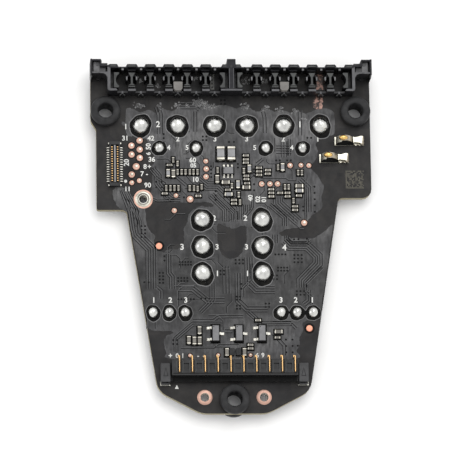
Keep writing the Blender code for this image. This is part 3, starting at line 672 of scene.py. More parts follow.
def make_copper_rings():
    """Ring and lining of each plated hole, and the ring and collar of the funnel insert."""
    inner, outer, rim, under = 0.72, 1.24, 0.06, -BOARD_T
    ring = [(inner, rim), (outer - 0.08, rim), (outer, 0.01), (inner + 0.005, 0.005),
            (inner + 0.005, under - 0.005), (outer, under - 0.01), (outer - 0.08, under - rim),
            (inner, under - rim)]
    lining = [(inner - 0.01, 0.03), (inner - 0.01, under - 0.03), (inner - 0.1, under - 0.03),
              (inner - 0.05, 0.0)]
    bm = bmesh.new()
    for x, y in PLATED_HOLES:
        lathe(bm, ring, x, y, 40)
        lathe(bm, lining, x, y, 40, 1)
    insert = centre_of("funnel_insert")
    lathe(bm, [(1.1, 0.08), (1.55, 0.08), (1.6, 0.01), (1.1, 0.01)], insert.x, insert.y, 48)
    lathe(bm, [(0.98, 0.14), (1.25, 0.14), (1.34, 0.05), (0.98, 0.05)], insert.x, insert.y, 48, 1)
    finish_mesh("copper_rings", bm, [COPPER, CREAM], smooth=50)


# ---------------- soldered joints

LAMP_JOINTS = [(side * x, y) for x, y in ((5.7, 12.9), (11.75, 12.9), (7.8, -14.5), (10.4, -14.5),
                                          (13.0, -14.5)) for side in SIDES]


def dome_profile(radius, height):
    """Solder dome: rounded crown, steep flank and a foot that flares onto its pad."""
    crown = [(0.0, 1.03), (0.12, 1.02), (0.2, 0.975)]
    crown += [(sin(a), cos(a)) for a in (radians(d) for d in (17, 27, 37, 47, 57, 67, 77, 86))]
    return [(radius * r, JOINT_FOOT + height * z) for r, z in crown + [(1.01, 0.0)]]


def joint_solid(bm, x, y, radius, height, rng, tail):
    """Dome above the board and flatter tail under it, in one turned solid."""
    upper = dome_profile(radius, height)
    under = -BOARD_T - JOINT_GAP
    barrel = 0.62 * radius
    lower = [(barrel, JOINT_FOOT), (barrel, under), (0.88 * radius, under), (0.84 * radius, under - 0.08),
             (0.66 * radius, under - 0.6 * tail), (0.35 * radius, under - 0.92 * tail), (0.0, under - tail)]
    lathe(bm, upper + lower, x, y, 40, 0, 0.035, rng, 1.03)


def flux_ring(bm, x, y, radius, rng):
    """Uneven pool of flux residue around a dome, with a thin pale ring round its edge, a painted highlight.
    """
    outline = circle(x, y - 0.08 * radius, radius, 40, 0.11, rng, 1.08)
    prism(bm, outline, 0.006, COAT_TOP + 0.035)
    rim = [(x + (px - x) * 1.07, y + (py - y) * 1.07) for px, py in outline]
    prism(bm, rim, 0.006, COAT_TOP + 0.014, 1)


def make_motor_joints():
    """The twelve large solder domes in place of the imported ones, and the flux round every joint."""
    rng = random.Random(11)
    places = {name: centre_of(name) for name in named("motor_joint_")}
    for name, middle in places.items():
        bm = bmesh.new()
        joint_solid(bm, middle.x, middle.y, 1.38, 1.12, rng, 0.5)
        dome = finish_mesh(name + "_solder", bm, [SOLDER], smooth=60)
        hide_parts(name)
    bm = bmesh.new()
    for middle in places.values():
        flux_ring(bm, middle.x, middle.y, 1.8, rng)
    for x, y in LAMP_JOINTS:
        flux_ring(bm, x, y, 1.22, rng)
    finish_mesh("flux_pools", bm, [FLUX, SPECK_AND_HIGHLIGHT])


def make_lamp_joints():
    """The ten small solder domes, with a flat tail of each under the board."""
    rng = random.Random(12)
    under = -BOARD_T - JOINT_GAP
    tail = [(0.0, under - 0.35), (0.3, under - 0.3), (0.58, under - 0.14), (0.68, under), (0.0, under + 0.01)]
    bm = bmesh.new()
    for x, y in LAMP_JOINTS:
        lathe(bm, dome_profile(0.8, 0.72) + [(0.0, 0.04)], x, y, 32, 0, 0.04, rng, 1.15)
        lathe(bm, tail, x, y, 24, 0, 0.04, rng)
    finish_mesh("lamp_lead_joints", bm, [SOLDER], smooth=60)


# ---------------- small chips

UPRIGHT_SMALL = [
    (-8.8, 8.8), (-8.15, 8.8), (-7.5, 8.8), (-6.8, 8.8), (-6.2, 8.8), (-5.55, 8.8), (-9.5, 10.8),
    (-8.8, 10.2), (-10.7, 6.1), (-10, 6.1), (-9.35, 6.1), (-8.7, 6.1), (-6.85, 6.1), (-6.15, 6.1),
    (-5.55, 6), (-4.9, 6.3), (-2.25, 9.1), (2.05, 9), (0.05, 6.5), (1.15, 5), (1.35, 3.75), (7.65, 9.6),
    (10.95, 8.7), (11.55, 8.7), (10.1, 4), (8.75, 6.3), (9.35, 6.3)]
LEVEL_SMALL = [
    (-10.1, 9.95), (-10.95, 5.2), (-5.45, 4.8), (-0.6, 5.8), (0.35, 4.1), (0.35, 3.5), (2.4, 11.55),
    (2.4, 10.9), (2.4, 10.35), (2.45, 8.15), (2.45, 7.6), (2.55, 6.9), (4.55, 9.5), (4.55, 8.9),
    (4.55, 8.3), (6, 9.1), (5.95, 8.5), (6.5, 5.9), (6.5, 5.3), (6.5, 4.7), (7.95, 5.3), (9.15, 5.3),
    (9.15, 4.7), (11, 4.85), (10.35, 3.05), (10.35, 2.45), (7.1, -18.7), (2.7, -19.9), (2.7, -20.5),
    (4, -15.85)]
UPRIGHT_LARGE = [
    (-10.35, 8.6), (-9.5, 8.5), (-2.35, 7.6), (2.95, 9.35), (1.05, 6.7), (8.4, 9.6), (-5.55, -17.5),
    (-7.3, -19.1), (-6.4, -19.2), (-5.55, -19.2), (-1.15, -21.1), (1.7, -21.1)]
LEVEL_LARGE = [(-0.95, 7.05), (-0.5, 5.05), (2.4, 6.2), (11.1, 6.45), (11.1, 5.65), (7.3, -17.75)]
FILTER_CAPACITORS = [(-1.75, 11.8), (0.0, 11.8)]
PALE_CHIPS = FILTER_CAPACITORS + [(-10.35, 8.6), (2.95, 9.35), (1.05, 6.7), (8.4, 9.6), (-0.5, 5.05),
                                  (11.1, 5.65)]
BEADS = [(-0.35, -21.1), (0.7, -21.1)]

BODY, END, SOLDER_FOOT, OUTLINE, PALE_BODY = range(5)       # material slots of the small chips


def line_of_blocks(bm, x, y, along_x):
    """Maker of blocks on a line through (x, y) that runs along x, or else along y."""
    def part(along, z, long, wide, high, mat, edge, taper=1.0):
        if along_x:
            block(bm, (x + along, y, z), (long, wide, high), mat, edge, taper)
        else:
            block(bm, (x, y + along, z), (wide, long, high), mat, edge, taper)
    return part


def two_ended_chip(bm, x, y, length, width, height, upright, body):
    """Ceramic middle, two plated ends, and a solder foot at each end, on a dark outline a little larger than
    the chip.
    """
    part = line_of_blocks(bm, x, y, not upright)
    end, middle = length * 0.17, 0.06 + height / 2
    part(0, 0.05, length + 0.48, width + 0.44, 0.07, OUTLINE, 0.03)
    part(0, middle, length - 2.4 * end, width * 0.94, height * 0.96, body, 0.02)
    for side in SIDES[::-1]:
        part(side * (length - end) / 2, middle, end, width, height, END, 0.035)
        part(side * (length / 2 + 0.01), 0.05 + height * 0.1, 0.08, width * 0.6, height * 0.2, SOLDER_FOOT,
             0.02, 0.75)


def make_small_chips():
    """Every two-ended chip on the top face."""
    groups = ((UPRIGHT_SMALL, 0.86, 0.38, 0.34, True), (LEVEL_SMALL, 0.86, 0.38, 0.34, False),
              (UPRIGHT_LARGE, 1.25, 0.6, 0.5, True), (LEVEL_LARGE, 1.25, 0.6, 0.5, False),
              (FILTER_CAPACITORS, 2.2, 1.25, 1.1, True))
    bm = bmesh.new()
    for places, length, width, height, upright in groups:
        for x, y in places:
            body = PALE_BODY if (x, y) in PALE_CHIPS else BODY
            two_ended_chip(bm, x, y, length, width, height, upright, body)
    finish_mesh("small_chips", bm, [CERAMIC, NICKEL, SOLDER, FLUX, PALE_CERAMIC])
    bm = bmesh.new()
    for x, y in BEADS:
        block(bm, (x, y, 0.42), (0.78, 1.2, 0.72), 0, 0.06)
    finish_mesh("ferrite_beads", bm, [FERRITE])


RESIN_TOP, SIDE, LEG, FOOT, STAIN, SHADOW = range(6)      # material slots of the packages


def chip_package(bm, x, y, size, lift):
    """Moulded package with draft on its upper half, a seam and a dimple at its first leg; a paler panel on
    top is painted sheen, and the near-black sides and dimple are painted shade.
    """
    width, length, height = size
    block(bm, (x, y, lift + height * 0.25), (width, length, height * 0.5), SIDE, 0.04)
    block(bm, (x, y, lift + height * 0.74), (width, length, height * 0.52), SIDE, 0.05, 0.93)
    block(bm, (x, y, lift + height), (width * 0.76, length * 0.86, 0.03), RESIN_TOP, 0.01)
    corner = (x - width / 2 + 0.34, y + length / 2 - 0.38)
    prism(bm, circle(*corner, 0.08, 16), lift + height - 0.02, lift + height + 0.02, SIDE)


def gull_leg(bm, x, y, reach, width, along_x):
    """Leg that leaves the package at half height, drops and lies on its pad."""
    part = line_of_blocks(bm, x, y, along_x)
    side, run = (1 if reach > 0 else -1), abs(reach)
    for start, end, low, high in ((0.0, 0.3, 0.42, 0.56), (0.22, 0.42, 0.08, 0.56), (0.3, 1.0, 0.06, 0.2)):
        middle = side * run * (start + end) / 2
        part(middle, (low + high) / 2, run * (end - start), width, high - low, LEG, 0.02)
    part(side * run * 0.8, 0.05, run * 0.7, width + 0.12, 0.08, FOOT, 0.03, 0.8)


def make_transistors():
    """Three-legged packages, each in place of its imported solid."""
    for number in (1, 2, 3):
        name = f"transistor_{number}"
        middle = centre_of(name)
        bm = bmesh.new()
        prism(bm, circle(middle.x, middle.y, 1.62, 28, 0.05, random.Random(number), 1.02),
              0.006, COAT_TOP + 0.004, STAIN)
        block(bm, (middle.x, middle.y, 0.05), (1.62, 3.16, 0.09), SHADOW, 0.03)
        chip_package(bm, middle.x, middle.y, (1.3, 2.86, 0.86), 0.16)
        for dx, dy, reach in ((-0.6, 0.95, -0.75), (-0.6, -0.95, -0.75), (0.6, 0.0, 0.75)):
            gull_leg(bm, middle.x + dx, middle.y + dy, reach, 0.42, True)
        materials = [RESIN, RESIN_SHADED_SIDES, TIN, NICKEL, COATING, FLUX]
        package = finish_mesh(name + "_package", bm, materials)
        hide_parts(name)


def make_logic_chip():
    """The six-legged chip."""
    x, y, leg_pitch = -0.55, 8.95, 0.65
    bm = bmesh.new()
    chip_package(bm, x, y, (2.05, 1.25, 0.8), 0.14)
    for i in (-1, 0, 1):
        for side in (-1, 1):
            gull_leg(bm, x + leg_pitch * i, y + side * 0.6, side * 0.5, 0.24, False)
    finish_mesh("logic_chip", bm, [RESIN, RESIN_SHADED_SIDES, TIN, NICKEL])


# ---------------- signal connector

def make_signal_contacts():
    """Thirty fine contacts with their leads, a middle bar and four corner nails."""
    middle = centre_of("signal_connector_housing")
    x, y, pitch, pins = middle.x, middle.y, 0.4, 15
    bm = bmesh.new()
    block(bm, (x, y, 0.8), (0.22, 6.2, 0.36), 3, 0.05)
    for side in (-1, 1):
        for i in range(pins):
            row = y + pitch * (i - (pins - 1) / 2)
            block(bm, (x + side * 0.46, row, 0.66), (0.24, 0.17, 0.44), 0, 0.04)
            block(bm, (x + side * 1.06, row, 0.16), (0.4, 0.17, 0.14), 1, 0.03)
            block(bm, (x + side * 1.22, row, 0.06), (0.26, 0.16, 0.07), 2, 0.02, 0.8)
        for end in (-1, 1):
            block(bm, (x + side * 0.98, y + end * 3.5, 0.25), (0.22, 0.3, 0.3), 1, 0.04)
    finish_mesh("signal_contacts", bm, [GOLD, TIN, TIN, PALE_CERAMIC])


# ---------------- legends

def glyph(bm, text, x, y, height, turn, z_low, z_high):
    """One digit or sign, or a few, as a thin solid; turn is in degrees."""
    curve = bpy.data.curves.new("glyph", "FONT")
    curve.body = text
    curve.size = height * 1.38 * MM
    curve.extrude = (z_high - z_low) / 2 * MM
    curve.offset = 0.028 * MM
    curve.resolution_u = 3
    curve.align_x = "CENTER"
    curve.align_y = "CENTER"
    place = Matrix.Translation(spot(x, y, (z_low + z_high) / 2))
    take_mesh(bm, curve, place @ Matrix.Rotation(radians(turn), 4, "Z"))


LEGENDS = {   # marks (text, x, y) by height and turn in degrees
    (0.9, 0): [
        ("1", -17.2, 16.4), ("2", -2.9, 1.1), ("3", -2.5, -3.7), ("1", -2.5, -8.1), ("2", 2.2, 1.1),
        ("3", 2.3, -3.7), ("1", 2.4, -8.1), ("1", -12.9, -12.5), ("2", -10.2, -12.5), ("3", -7.7, -12.5),
        ("3", 7.8, -12.5), ("2", 10.2, -12.5), ("1", 12.9, -12.5)],
    (1.0, 0): [("2", -11.9, 16.8), ("1", 11.4, 16.8), ("3", -8.2, -3.7), ("4", 8.5, -3.8)],
    (0.85, 0): [
        ("2", -8.7, 14.35), ("3", -2.6, 14.35), ("3", 2.6, 14.35), ("2", 8.6, 14.35), ("1", 14.3, 14.35),
        ("+", -10.3, -21.65)],
    (0.8, 0): [
        ("4", -10.2, 12.9), ("5", -7.2, 12.9), ("5", 3.9, 12.9), ("4", 10, 12.9), ("31", -17.3, 14.45),
        ("42", -13.1, 14.45), ("36", -13, 10.9), ("8", -14.1, 9.7), ("+", -13.4, 9.7), ("7", -14.6, 8.5),
        ("-", -13.8, 8.5), ("90", -13.7, 6.6), ("60", -6.3, 10.8), ("10", -5.9, 7.55)],
    (0.8, 90): [("50", -13.5, 13.1)],
    (0.7, 90): [("6", -13.5, 11.9)],
    (0.85, 90): [("20", -17.1, 10.4)],
    (0.75, 0): [
        ("11", -17, 5.95), ("0", -9.2, -21.65), ("1", -8.3, -21.65), ("6", 3.8, -21.6),
        ("9", 4.7, -21.6)],
    (0.7, 0): [("05", -6.2, 9.9), ("-", -5.8, -21.65), ("-", -4.9, -21.65)],
    (0.75, 90): [("40", 3.1, 4.5), ("02", 4.3, 4.3), ("01", 5.3, 4.3)],
}


def make_legends():
    """White marks: digits, signs, a dot and a triangle at the connector's first blade."""
    bm = bmesh.new()
    for (height, turn), marks in LEGENDS.items():
        for text, x, y in marks:
            glyph(bm, text, x, y, height, turn, COAT_TOP + 0.002, COAT_TOP + 0.03)
    bmesh.ops.remove_doubles(bm, verts=bm.verts, dist=0.0005 * MM)
    prism(bm, circle(-17.3, 7.3, 0.26, 16), 0.006, COAT_TOP + 0.02)
    prism(bm, [(-9.65, -27.05), (-9.0, -27.05), (-9.32, -26.4)], 0.006, COAT_TOP + 0.02)
    finish_mesh("legend_marks", bm, [LEGEND])


def make_code_patch():
    """Square patch of random cells in faint ink; it holds no message."""
    rng = random.Random(21)
    bm = bmesh.new()
    cell, cells, left, front, fill = 0.2, 15, 18.75, 6.1, 0.94
    for i in range(cells):
        for j in range(cells):
            if i == 0 or j == 0 or rng.random() < 0.5:
                x, y = left + (i + 0.5) * cell, front + (j + 0.5) * cell
                block(bm, (x, y, 0.012), (cell * fill, cell * fill, 0.016))
    finish_mesh("code_patch", bm, [FAINT_INK])


# ---------------- slotted guide

GUIDE_HEIGHT, POST_HEIGHT = 3.8, 3.0
FIRST_BAY, BAY_PITCH = 2.68, 3.02
# Painted light and shade: the four shades after BLACK make the tops of the one black moulding lighter or
# darker where light falls or shade lies; BLACK is the moulding's own colour.
BLACK, LIT_TOP, HALF_LIT, DIM, LIT = range(5)        # shades of the guide's tops, by material slot


def bay_places():
    """Middles of the twelve bays."""
    return [side * (FIRST_BAY + BAY_PITCH * k) for k in range(6) for side in SIDES]


def post_places():
    """Middles of the ten posts between bays."""
    return [side * (FIRST_BAY + BAY_PITCH * (k + 0.5)) for k in range(5) for side in SIDES]


def box_outline(x0, x1, y0, y1):
    """Outline of an upright box."""
    return [(x0, y0), (x1, y0), (x1, y1), (x0, y1)]


def mirrored(points, middle=0.0):
    """Closed outline from the points of its right half, listed front to back."""
    return [(middle + x, y) for x, y in points] + [(middle - x, y) for x, y in reversed(points)]


def flipped(points, x, side):
    """Points moved to x, and turned over to the left for side -1."""
    return [(x + side * dx, y) for dx, y in points]


def topped(bm, outline, z_high, top, side=1, z_low=0.0):
    """Black moulded prism with its own shade on top; side -1 turns it over to the left."""
    faces = prism(bm, flipped(outline, 0.0, side), z_low, z_high, BLACK)
    faces[0].material_index = top


def rear_wall(bm, side):
    """Corrugated back wall of one row of bays, with a lighter band on each rib, painted light."""
    outer, inner = [(0.3, 25.6), (0.66, 26.05), (1.45, 26.05), (1.68, 25.6)], []
    for k in range(5):
        rib = FIRST_BAY + BAY_PITCH * (k + 0.5)
        outer += [(rib - 1.0, 25.6), (rib - 0.77, 26.05), (rib + 0.77, 26.05), (rib + 1.0, 25.6)]
        inner += [(rib - 0.85, 25.42), (rib - 0.6, 25.58), (rib + 0.6, 25.58), (rib + 0.85, 25.42)]
        topped(bm, box_outline(rib - 0.62, rib + 0.62, 25.62, 25.84), GUIDE_HEIGHT + 0.012, HALF_LIT, side, 3.6)
        bulge = [(rib - 0.8, 25.5), (rib - 0.62, 25.18), (rib + 0.62, 25.18), (rib + 0.8, 25.5)]
        topped(bm, bulge, 2.6, DIM, side)
    outer += [(18.45, 25.6), (18.68, 26.05), (19.85, 26.05), (20.15, 25.92), (20.27, 25.6)]
    wall = outer + [(19.9, 25.42)] + inner[::-1] + [(0.3, 25.42)]
    topped(bm, wall, GUIDE_HEIGHT, DIM, side)
    for x0, x1 in ((18.85, 19.8), (0.8, 1.4)):
        topped(bm, box_outline(x0, x1, 25.64, 25.86), GUIDE_HEIGHT + 0.012, HALF_LIT, side, 3.6)


def side_wall(bm, side):
    """End wall with its rounded front corner and the short bar that runs in from it."""
    outline = [(20.27, 25.6), (19.77, 25.6), (19.77, 21.98), (18.85, 21.98), (18.6, 21.62), (19.85, 21.58),
               (20.12, 21.66), (20.27, 21.95)]
    topped(bm, outline, GUIDE_HEIGHT - 0.01, LIT_TOP, side)
    topped(bm, box_outline(1.75, 18.9, 21.62, 21.98), 2.0, BLACK, side)


def divider(bm):
    """Middle wall, its front bar, and the tab behind it with a black disc on top, painted shade for a small
    round recess.
    """
    outline = mirrored([(1.8, 21.6), (1.8, 21.95), (0.42, 22.05), (0.42, 25.55)])
    topped(bm, outline, GUIDE_HEIGHT - 0.005, DIM)
    for side in SIDES:
        topped(bm, box_outline(0.28, 0.4, 22.0, 25.4), GUIDE_HEIGHT + 0.004, LIT_TOP, side, 3.5)
    topped(bm, box_outline(-1.75, 1.75, 21.62, 21.9), GUIDE_HEIGHT + 0.004, LIT_TOP, z_low=3.5)
    topped(bm, mirrored([(0.7, 25.5), (0.72, 25.7), (0.7, 26.95)]), GUIDE_HEIGHT - 0.02, DIM)
    # Painted shade: black disc on the tab where the recess is.
    topped(bm, circle(0.0, 25.72, 0.26, 24), GUIDE_HEIGHT + 0.006, BLACK, z_low=3.5)


def post(bm, x):
    """Post between two bays: lit front bar, groove, second bar, narrow neck, head and two hooks."""
    for half, y0, y1, height, top in ((0.62, 21.6, 21.98, 3.5, LIT_TOP), (0.6, 21.95, 22.75, 2.3, BLACK),
                                      (0.55, 22.36, 22.6, POST_HEIGHT, HALF_LIT),
                                      (0.3, 24.7, 25.5, 1.6, BLACK)):
        topped(bm, box_outline(x - half, x + half, y0, y1), height, top)
    shape = [(0.62, 22.68), (0.17, 22.97), (0.17, 24.07), (0.33, 24.33), (0.58, 24.82)]
    topped(bm, mirrored(shape, x), POST_HEIGHT, HALF_LIT)
    hook = [(0.67, 24.22), (0.93, 24.22), (0.93, 23.72), (0.8, 23.5), (0.68, 23.7)]
    arm = [(0.5, 24.7), (0.92, 24.22), (0.68, 24.12), (0.36, 24.5)]
    for side in SIDES:
        topped(bm, flipped(hook, x, side), 2.75, LIT)
        topped(bm, flipped(arm, x, side), 2.35, DIM)


def half_post(bm, side, start, inward):
    """Half post beside a wall, with a rounded notch towards the bay, and the channel beside it."""
    shape = [(0.0, 22.3), (0.75, 22.3), (0.88, 22.58), (0.55, 22.9), (0.36, 23.3), (0.34, 23.7),
             (0.42, 24.05), (0.62, 24.4), (0.88, 24.6), (0.86, 24.88), (0.0, 24.88)]
    topped(bm, flipped(shape, start, inward), POST_HEIGHT, HALF_LIT, side)
    topped(bm, box_outline(*sorted((start, start - inward * 0.62)), 22.0, 25.5), 1.2, BLACK, side)


def bay_details(bm, x):
    """Lit nub at the back of a bay, and the forked foot on the front wall below it, drawn lighter as painted
    highlight.
    """
    topped(bm, mirrored([(0.18, 25.07), (0.18, 25.5)], x), 3.6, LIT, z_low=1.0)
    topped(bm, mirrored([(0.17, 21.5), (0.17, 21.95)], x), 2.03, LIT_TOP)
    leg = [(0.0, 21.56), (0.2, 21.6), (0.48, 21.36), (0.4, 21.22), (0.3, 21.3)]
    for side in SIDES:
        topped(bm, flipped(leg, x, side), 1.75, HALF_LIT)


def ear(bm, side):
    """Ear at one end: dark outer walls, lit front rim, sunk plate with a round boss, stake and its tail."""
    rim = [(20.2, 24.78), (22.85, 24.78), (22.85, 24.52), (20.95, 24.5), (20.55, 24.3), (20.3, 23.9),
           (20.2, 23.4)]
    corner = [(22.78, 24.5), (22.72, 23.98), (22.95, 23.9), (23.05, 24.5)]
    parts = ((box_outline(22.72, 23.05, 24.4, 26.95), GUIDE_HEIGHT - 0.01, DIM, 0.0),
             (box_outline(21.3, 22.8, 26.62, 26.9), GUIDE_HEIGHT - 0.03, DIM, 0.0),
             (corner, 3.3, HALF_LIT, 0.0), (rim, GUIDE_HEIGHT - 0.02, LIT_TOP, 0.0),
             (box_outline(20.2, 21.45, 25.7, 25.95), GUIDE_HEIGHT - 0.04, DIM, 0.0),
             (box_outline(21.2, 21.5, 25.72, 26.7), GUIDE_HEIGHT - 0.05, DIM, 0.0),
             (box_outline(21.48, 22.5, 24.74, 26.62), 2.9, LIT, 0.0),
             (box_outline(20.5, 21.48, 24.74, 25.7), 2.85, LIT_TOP, 0.0),
             (box_outline(20.2, 22.82, 24.72, 26.6), 2.2, BLACK, 0.0),
             (circle(21.85, 26.25, 0.3, 24), 2.98, LIT_TOP, 2.8),
             (circle(21.6, 24.64, 0.12, 16), 3.88, LIT_TOP, 3.0),
             (circle(21.6, 24.75, 0.6, 24), 0.5, BLACK, -1.7))
    for outline, high, top, low in parts:
        topped(bm, outline, high, top, side, low)


def make_guide_frame():
    """The slotted guide across the rear edge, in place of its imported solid."""
    bm = bmesh.new()
    divider(bm)
    for side in SIDES:
        rear_wall(bm, side)
        side_wall(bm, side)
        ear(bm, side)
        half_post(bm, side, 1.0, 1)
        half_post(bm, side, 19.2, -1)
    for x in post_places():
        post(bm, x)
    for x in bay_places():
        bay_details(bm, x)
    materials = [GUIDE, GUIDE_TOP, HALF_LIT_GREY, GUIDE_DIM, GUIDE_LIT]
    guide = finish_mesh("guide_moulding", bm, materials)
    edge_rounding(guide, 0.035)
    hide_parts("slotted_guide_frame")


def make_bay_keys():
    """Pale keys that close one bay on each side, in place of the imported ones."""
    for name in ("bay_key_left", "bay_key_right"):
        x = centre_of(name).x
        bm = bmesh.new()
        prism(bm, mirrored([(0.45, 21.85), (0.72, 22.15), (0.75, 23.3)], x), 0.3, 3.1)
        key = finish_mesh(name + "_moulding", bm, [KEY])
        edge_rounding(key, 0.05)
        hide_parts(name)


def make_bay_marks():
    """What shows on the board inside the bays: a pale strip with dots and a bare copper patch."""
    rng = random.Random(5)
    bm = bmesh.new()
    prism(bm, box_outline(-3.25, -2.6, 22.7, 25.3), SKIN, 0.03, 0)
    for k in range(4):
        prism(bm, circle(-2.95, 24.9 - 0.6 * k, 0.13, 14), 0.02, 0.04, 2)
    prism(bm, box_outline(14.15, 15.35, 22.7, 25.3), SKIN, 0.03, 1)
    bared = [(13.75, 21.35), (13.7, 19.7), (14.3, 19.45), (15.1, 19.6), (15.2, 21.3)]
    prism(bm, smooth_closed(bared, 4, 0.02, rng), SKIN, COAT_TOP + 0.02, 1)
    finish_mesh("bay_marks", bm, [WORN_STRIP, BARED_COPPER, SHADE_AND_MARK_BLACK])


# ---------------- grommets and springs

def make_grommets():
    """Round-edged rubber in place of each packed grommet."""
    bore, neck, seat, under = 1.2, 1.5, 0.25, -BOARD_T - 0.25
    for name in ("grommet_rear_left", "grommet_rear_right", "grommet_front"):
        low, high = box_of(name)
        outer, top, foot = (high.x - low.x) / 2, high.z, low.z
        profile = [(bore, top - 0.3), (bore + 0.08, top - 0.1), (bore + 0.26, top - 0.02), (bore + 0.42, top),
                   (outer - 0.5, top), (outer - 0.25, top - 0.06), (outer - 0.08, top - 0.2),
                   (outer, top - 0.42), (outer, seat + 0.15), (outer - 0.12, seat + 0.02),
                   (outer - 0.2, seat), (neck, seat), (neck, under), (outer - 0.2, under),
                   (outer - 0.05, under - 0.05), (outer, under - 0.2), (outer, foot + 0.15),
                   (outer - 0.12, foot), (bore + 0.15, foot), (bore, foot + 0.12)]
        bm = bmesh.new()
        lathe(bm, profile, (low.x + high.x) / 2, (low.y + high.y) / 2, 56)
        rubber = finish_mesh(name + "_rubber", bm, [RUBBER], smooth=50)
        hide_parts(name)


# ---------------- connector and spring details

def make_blades():
    """Thin gold blades with a rounded crown and a foot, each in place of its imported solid."""
    for name in named("power_contact_"):
        x = centre_of(name).x - 0.05
        bm = bmesh.new()
        block(bm, (x, -23.3, 1.95), (0.22, 2.7, 0.76), 0, 0.07)
        block(bm, (x - 0.04, -24.45, 1.7), (0.2, 0.6, 0.7), 0, 0.07)
        block(bm, (x, -22.05, 1.05), (0.22, 0.26, 1.9), 0, 0.05)
        block(bm, (x, -21.85, 0.16), (0.26, 0.6, 0.12), 0, 0.04)
        blade = finish_mesh(name + "_blade", bm, [GOLD])
        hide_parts(name)


def make_housing_details():
    """Pale slot rims between the blades as painted highlight, a black front ledge and a black line along the
    front edge as painted shade, and marks on the end caps.
    """
    bm = bmesh.new()
    rim = [(0.35, -22.85), (0.55, -22.95), (0.55, -24.5), (0.3, -24.75)]
    for name in named("power_contact_"):
        x = centre_of(name).x
        for side in SIDES:
            if abs(x + side * 0.55) < 10.0:
                # Painted highlight: pale rims along the slots.
                ribbon(bm, flipped(rim, x, side), 0.07, 2.44, 2.515, 1)
    # Painted shade: black ledge and line along the housing's front.
    prism(bm, box_outline(-10.1, 10.1, -25.98, -25.0), 1.05, 1.16, 0)
    ribbon(bm, [(-10.0, -24.92), (10.0, -24.92)], 0.12, 2.4, 2.51, 0)
    for side in SIDES:
        mark = [(-0.34, -25.2), (0.34, -25.2), (0.0, -23.9), (-0.34, -25.2)]
        ribbon(bm, [(side * 11.15 + dx, y) for dx, y in mark], 0.08, 1.66, 1.705, 0)
    finish_mesh("connector_details", bm, [SHADE_AND_MARK_BLACK, HALF_LIT_GREY])


def make_hold_downs():
    """Thin bent tabs in front of the end caps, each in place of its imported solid."""
    for name, side in (("connector_hold_down_left", -1), ("connector_hold_down_right", 1)):
        bm = bmesh.new()
        ribbon(bm, [(side * 10.35, -26.5), (side * 11.95, -26.5), (side * 11.95, -25.9)], 0.11, 0.02, 0.3)
        block(bm, (side * 11.2, -26.36, 0.6), (1.4, 0.16, 1.0), 1, 0.04)
        tab = finish_mesh(name + "_tab", bm, [TIN, END_CAP])
        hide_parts(name)


def side_strip(bm, points, x, y, z, width, thick, mat):
    """Bent strip seen from the side: points are (x, z) of its middle, spread over width along y."""
    path = [Vector(p) for p in points]
    steps = [normal * thick / 2 for normal, _ in path_normals(path)]
    upper = [here + step for here, step in zip(path, steps)]
    lower = [here - step for here, step in zip(path, steps)]
    near, far = ([spot(x + p.x, place, z + p.y) for p in upper + lower[::-1]]
                 for place in (y - width / 2, y + width / 2))
    walled(bm, far, near, mat)


SPRING_HINGE_X, SPRING_HINGE_Z = 2.95, 0.8


def spring_base(label, left, y):
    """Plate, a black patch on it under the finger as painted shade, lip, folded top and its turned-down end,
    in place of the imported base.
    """
    bm = bmesh.new()
    block(bm, (left + 2.45, y, 0.11), (4.86, 1.46, 0.1), 0, 0.03)
    # Painted shade: black patch where the finger's shadow falls on the plate.
    block(bm, (left + 1.75, y - 0.06, 0.165), (2.9, 1.3, 0.05), 2, 0.01)
    lip = [(0.01, -0.72), (0.16, -0.62), (0.16, 0.2), (0.01, 0.34)]
    prism(bm, [(left + dx, y + dy) for dx, dy in lip], 0.1, 0.7, 0)
    fold = [(3.03, -0.4), (3.3, -0.3), (4.1, -0.42), (4.45, -0.55), (4.6, 0.7), (4.3, 0.72), (3.5, 0.5),
            (3.25, 0.42), (3.03, 0.6)]
    prism(bm, [(left + dx, y + dy) for dx, dy in fold], 0.6, 1.02, 0)
    side_strip(bm, [(4.3, 0.96), (4.7, 0.8), (4.82, 0.5), (4.7, 0.22)], left, y, 0.0, 1.4, 0.1, 1)
    for dx, width in ((3.25, 0.3), (3.85, 0.44), (4.45, 0.28)):
        block(bm, (left + dx, y - 0.66, 0.4), (width, 0.14, 0.5), 1, 0.04, 0.7)
    base = finish_mesh(f"spring_base_{label}_plate", bm, [CREAM, SPRING_TIN, SHADE_AND_MARK_BLACK])
    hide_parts("spring_contact_base_" + label)


def spring_finger(label, left, y):
    """Bent strip, its tip and the gold button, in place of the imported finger."""
    bm = bmesh.new()
    bend = [(0.0, 0.0), (-0.5, 0.85), (-0.95, 1.4), (-1.35, 1.52), (-1.95, 1.42)]
    tip = [(-1.93, 1.42), (-2.35, 1.0), (-2.7, 0.15)]
    side_strip(bm, bend, left + SPRING_HINGE_X, y + 0.12, SPRING_HINGE_Z, 0.88, 0.12, 0)
    side_strip(bm, tip, left + SPRING_HINGE_X, y, SPRING_HINGE_Z, 1.12, 0.12, 2)
    button = [(0.0, 2.8), (0.3, 2.77), (0.5, 2.66), (0.66, 2.46), (0.74, 2.24), (0.0, 2.22)]
    lathe(bm, button, left + 1.3, y + 0.14, 32, 1, 0.0, None, 0.62)
    finger = finish_mesh(f"spring_finger_{label}_plate", bm, [SPRING_TIN, GOLD_BUTTON, CREAM],
                         body="spring_finger_" + label, smooth=40)
    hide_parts("spring_contact_finger_" + label)


def make_spring_contacts():
    """Folded base on the board and sprung finger with its gold button, for both contacts."""
    for label in ("rear", "front"):
        low, high = box_of("spring_contact_base_" + label)
        spring_base(label, low.x, (low.y + high.y) / 2)
        spring_finger(label, low.x, (low.y + high.y) / 2)


# ---------------- underside

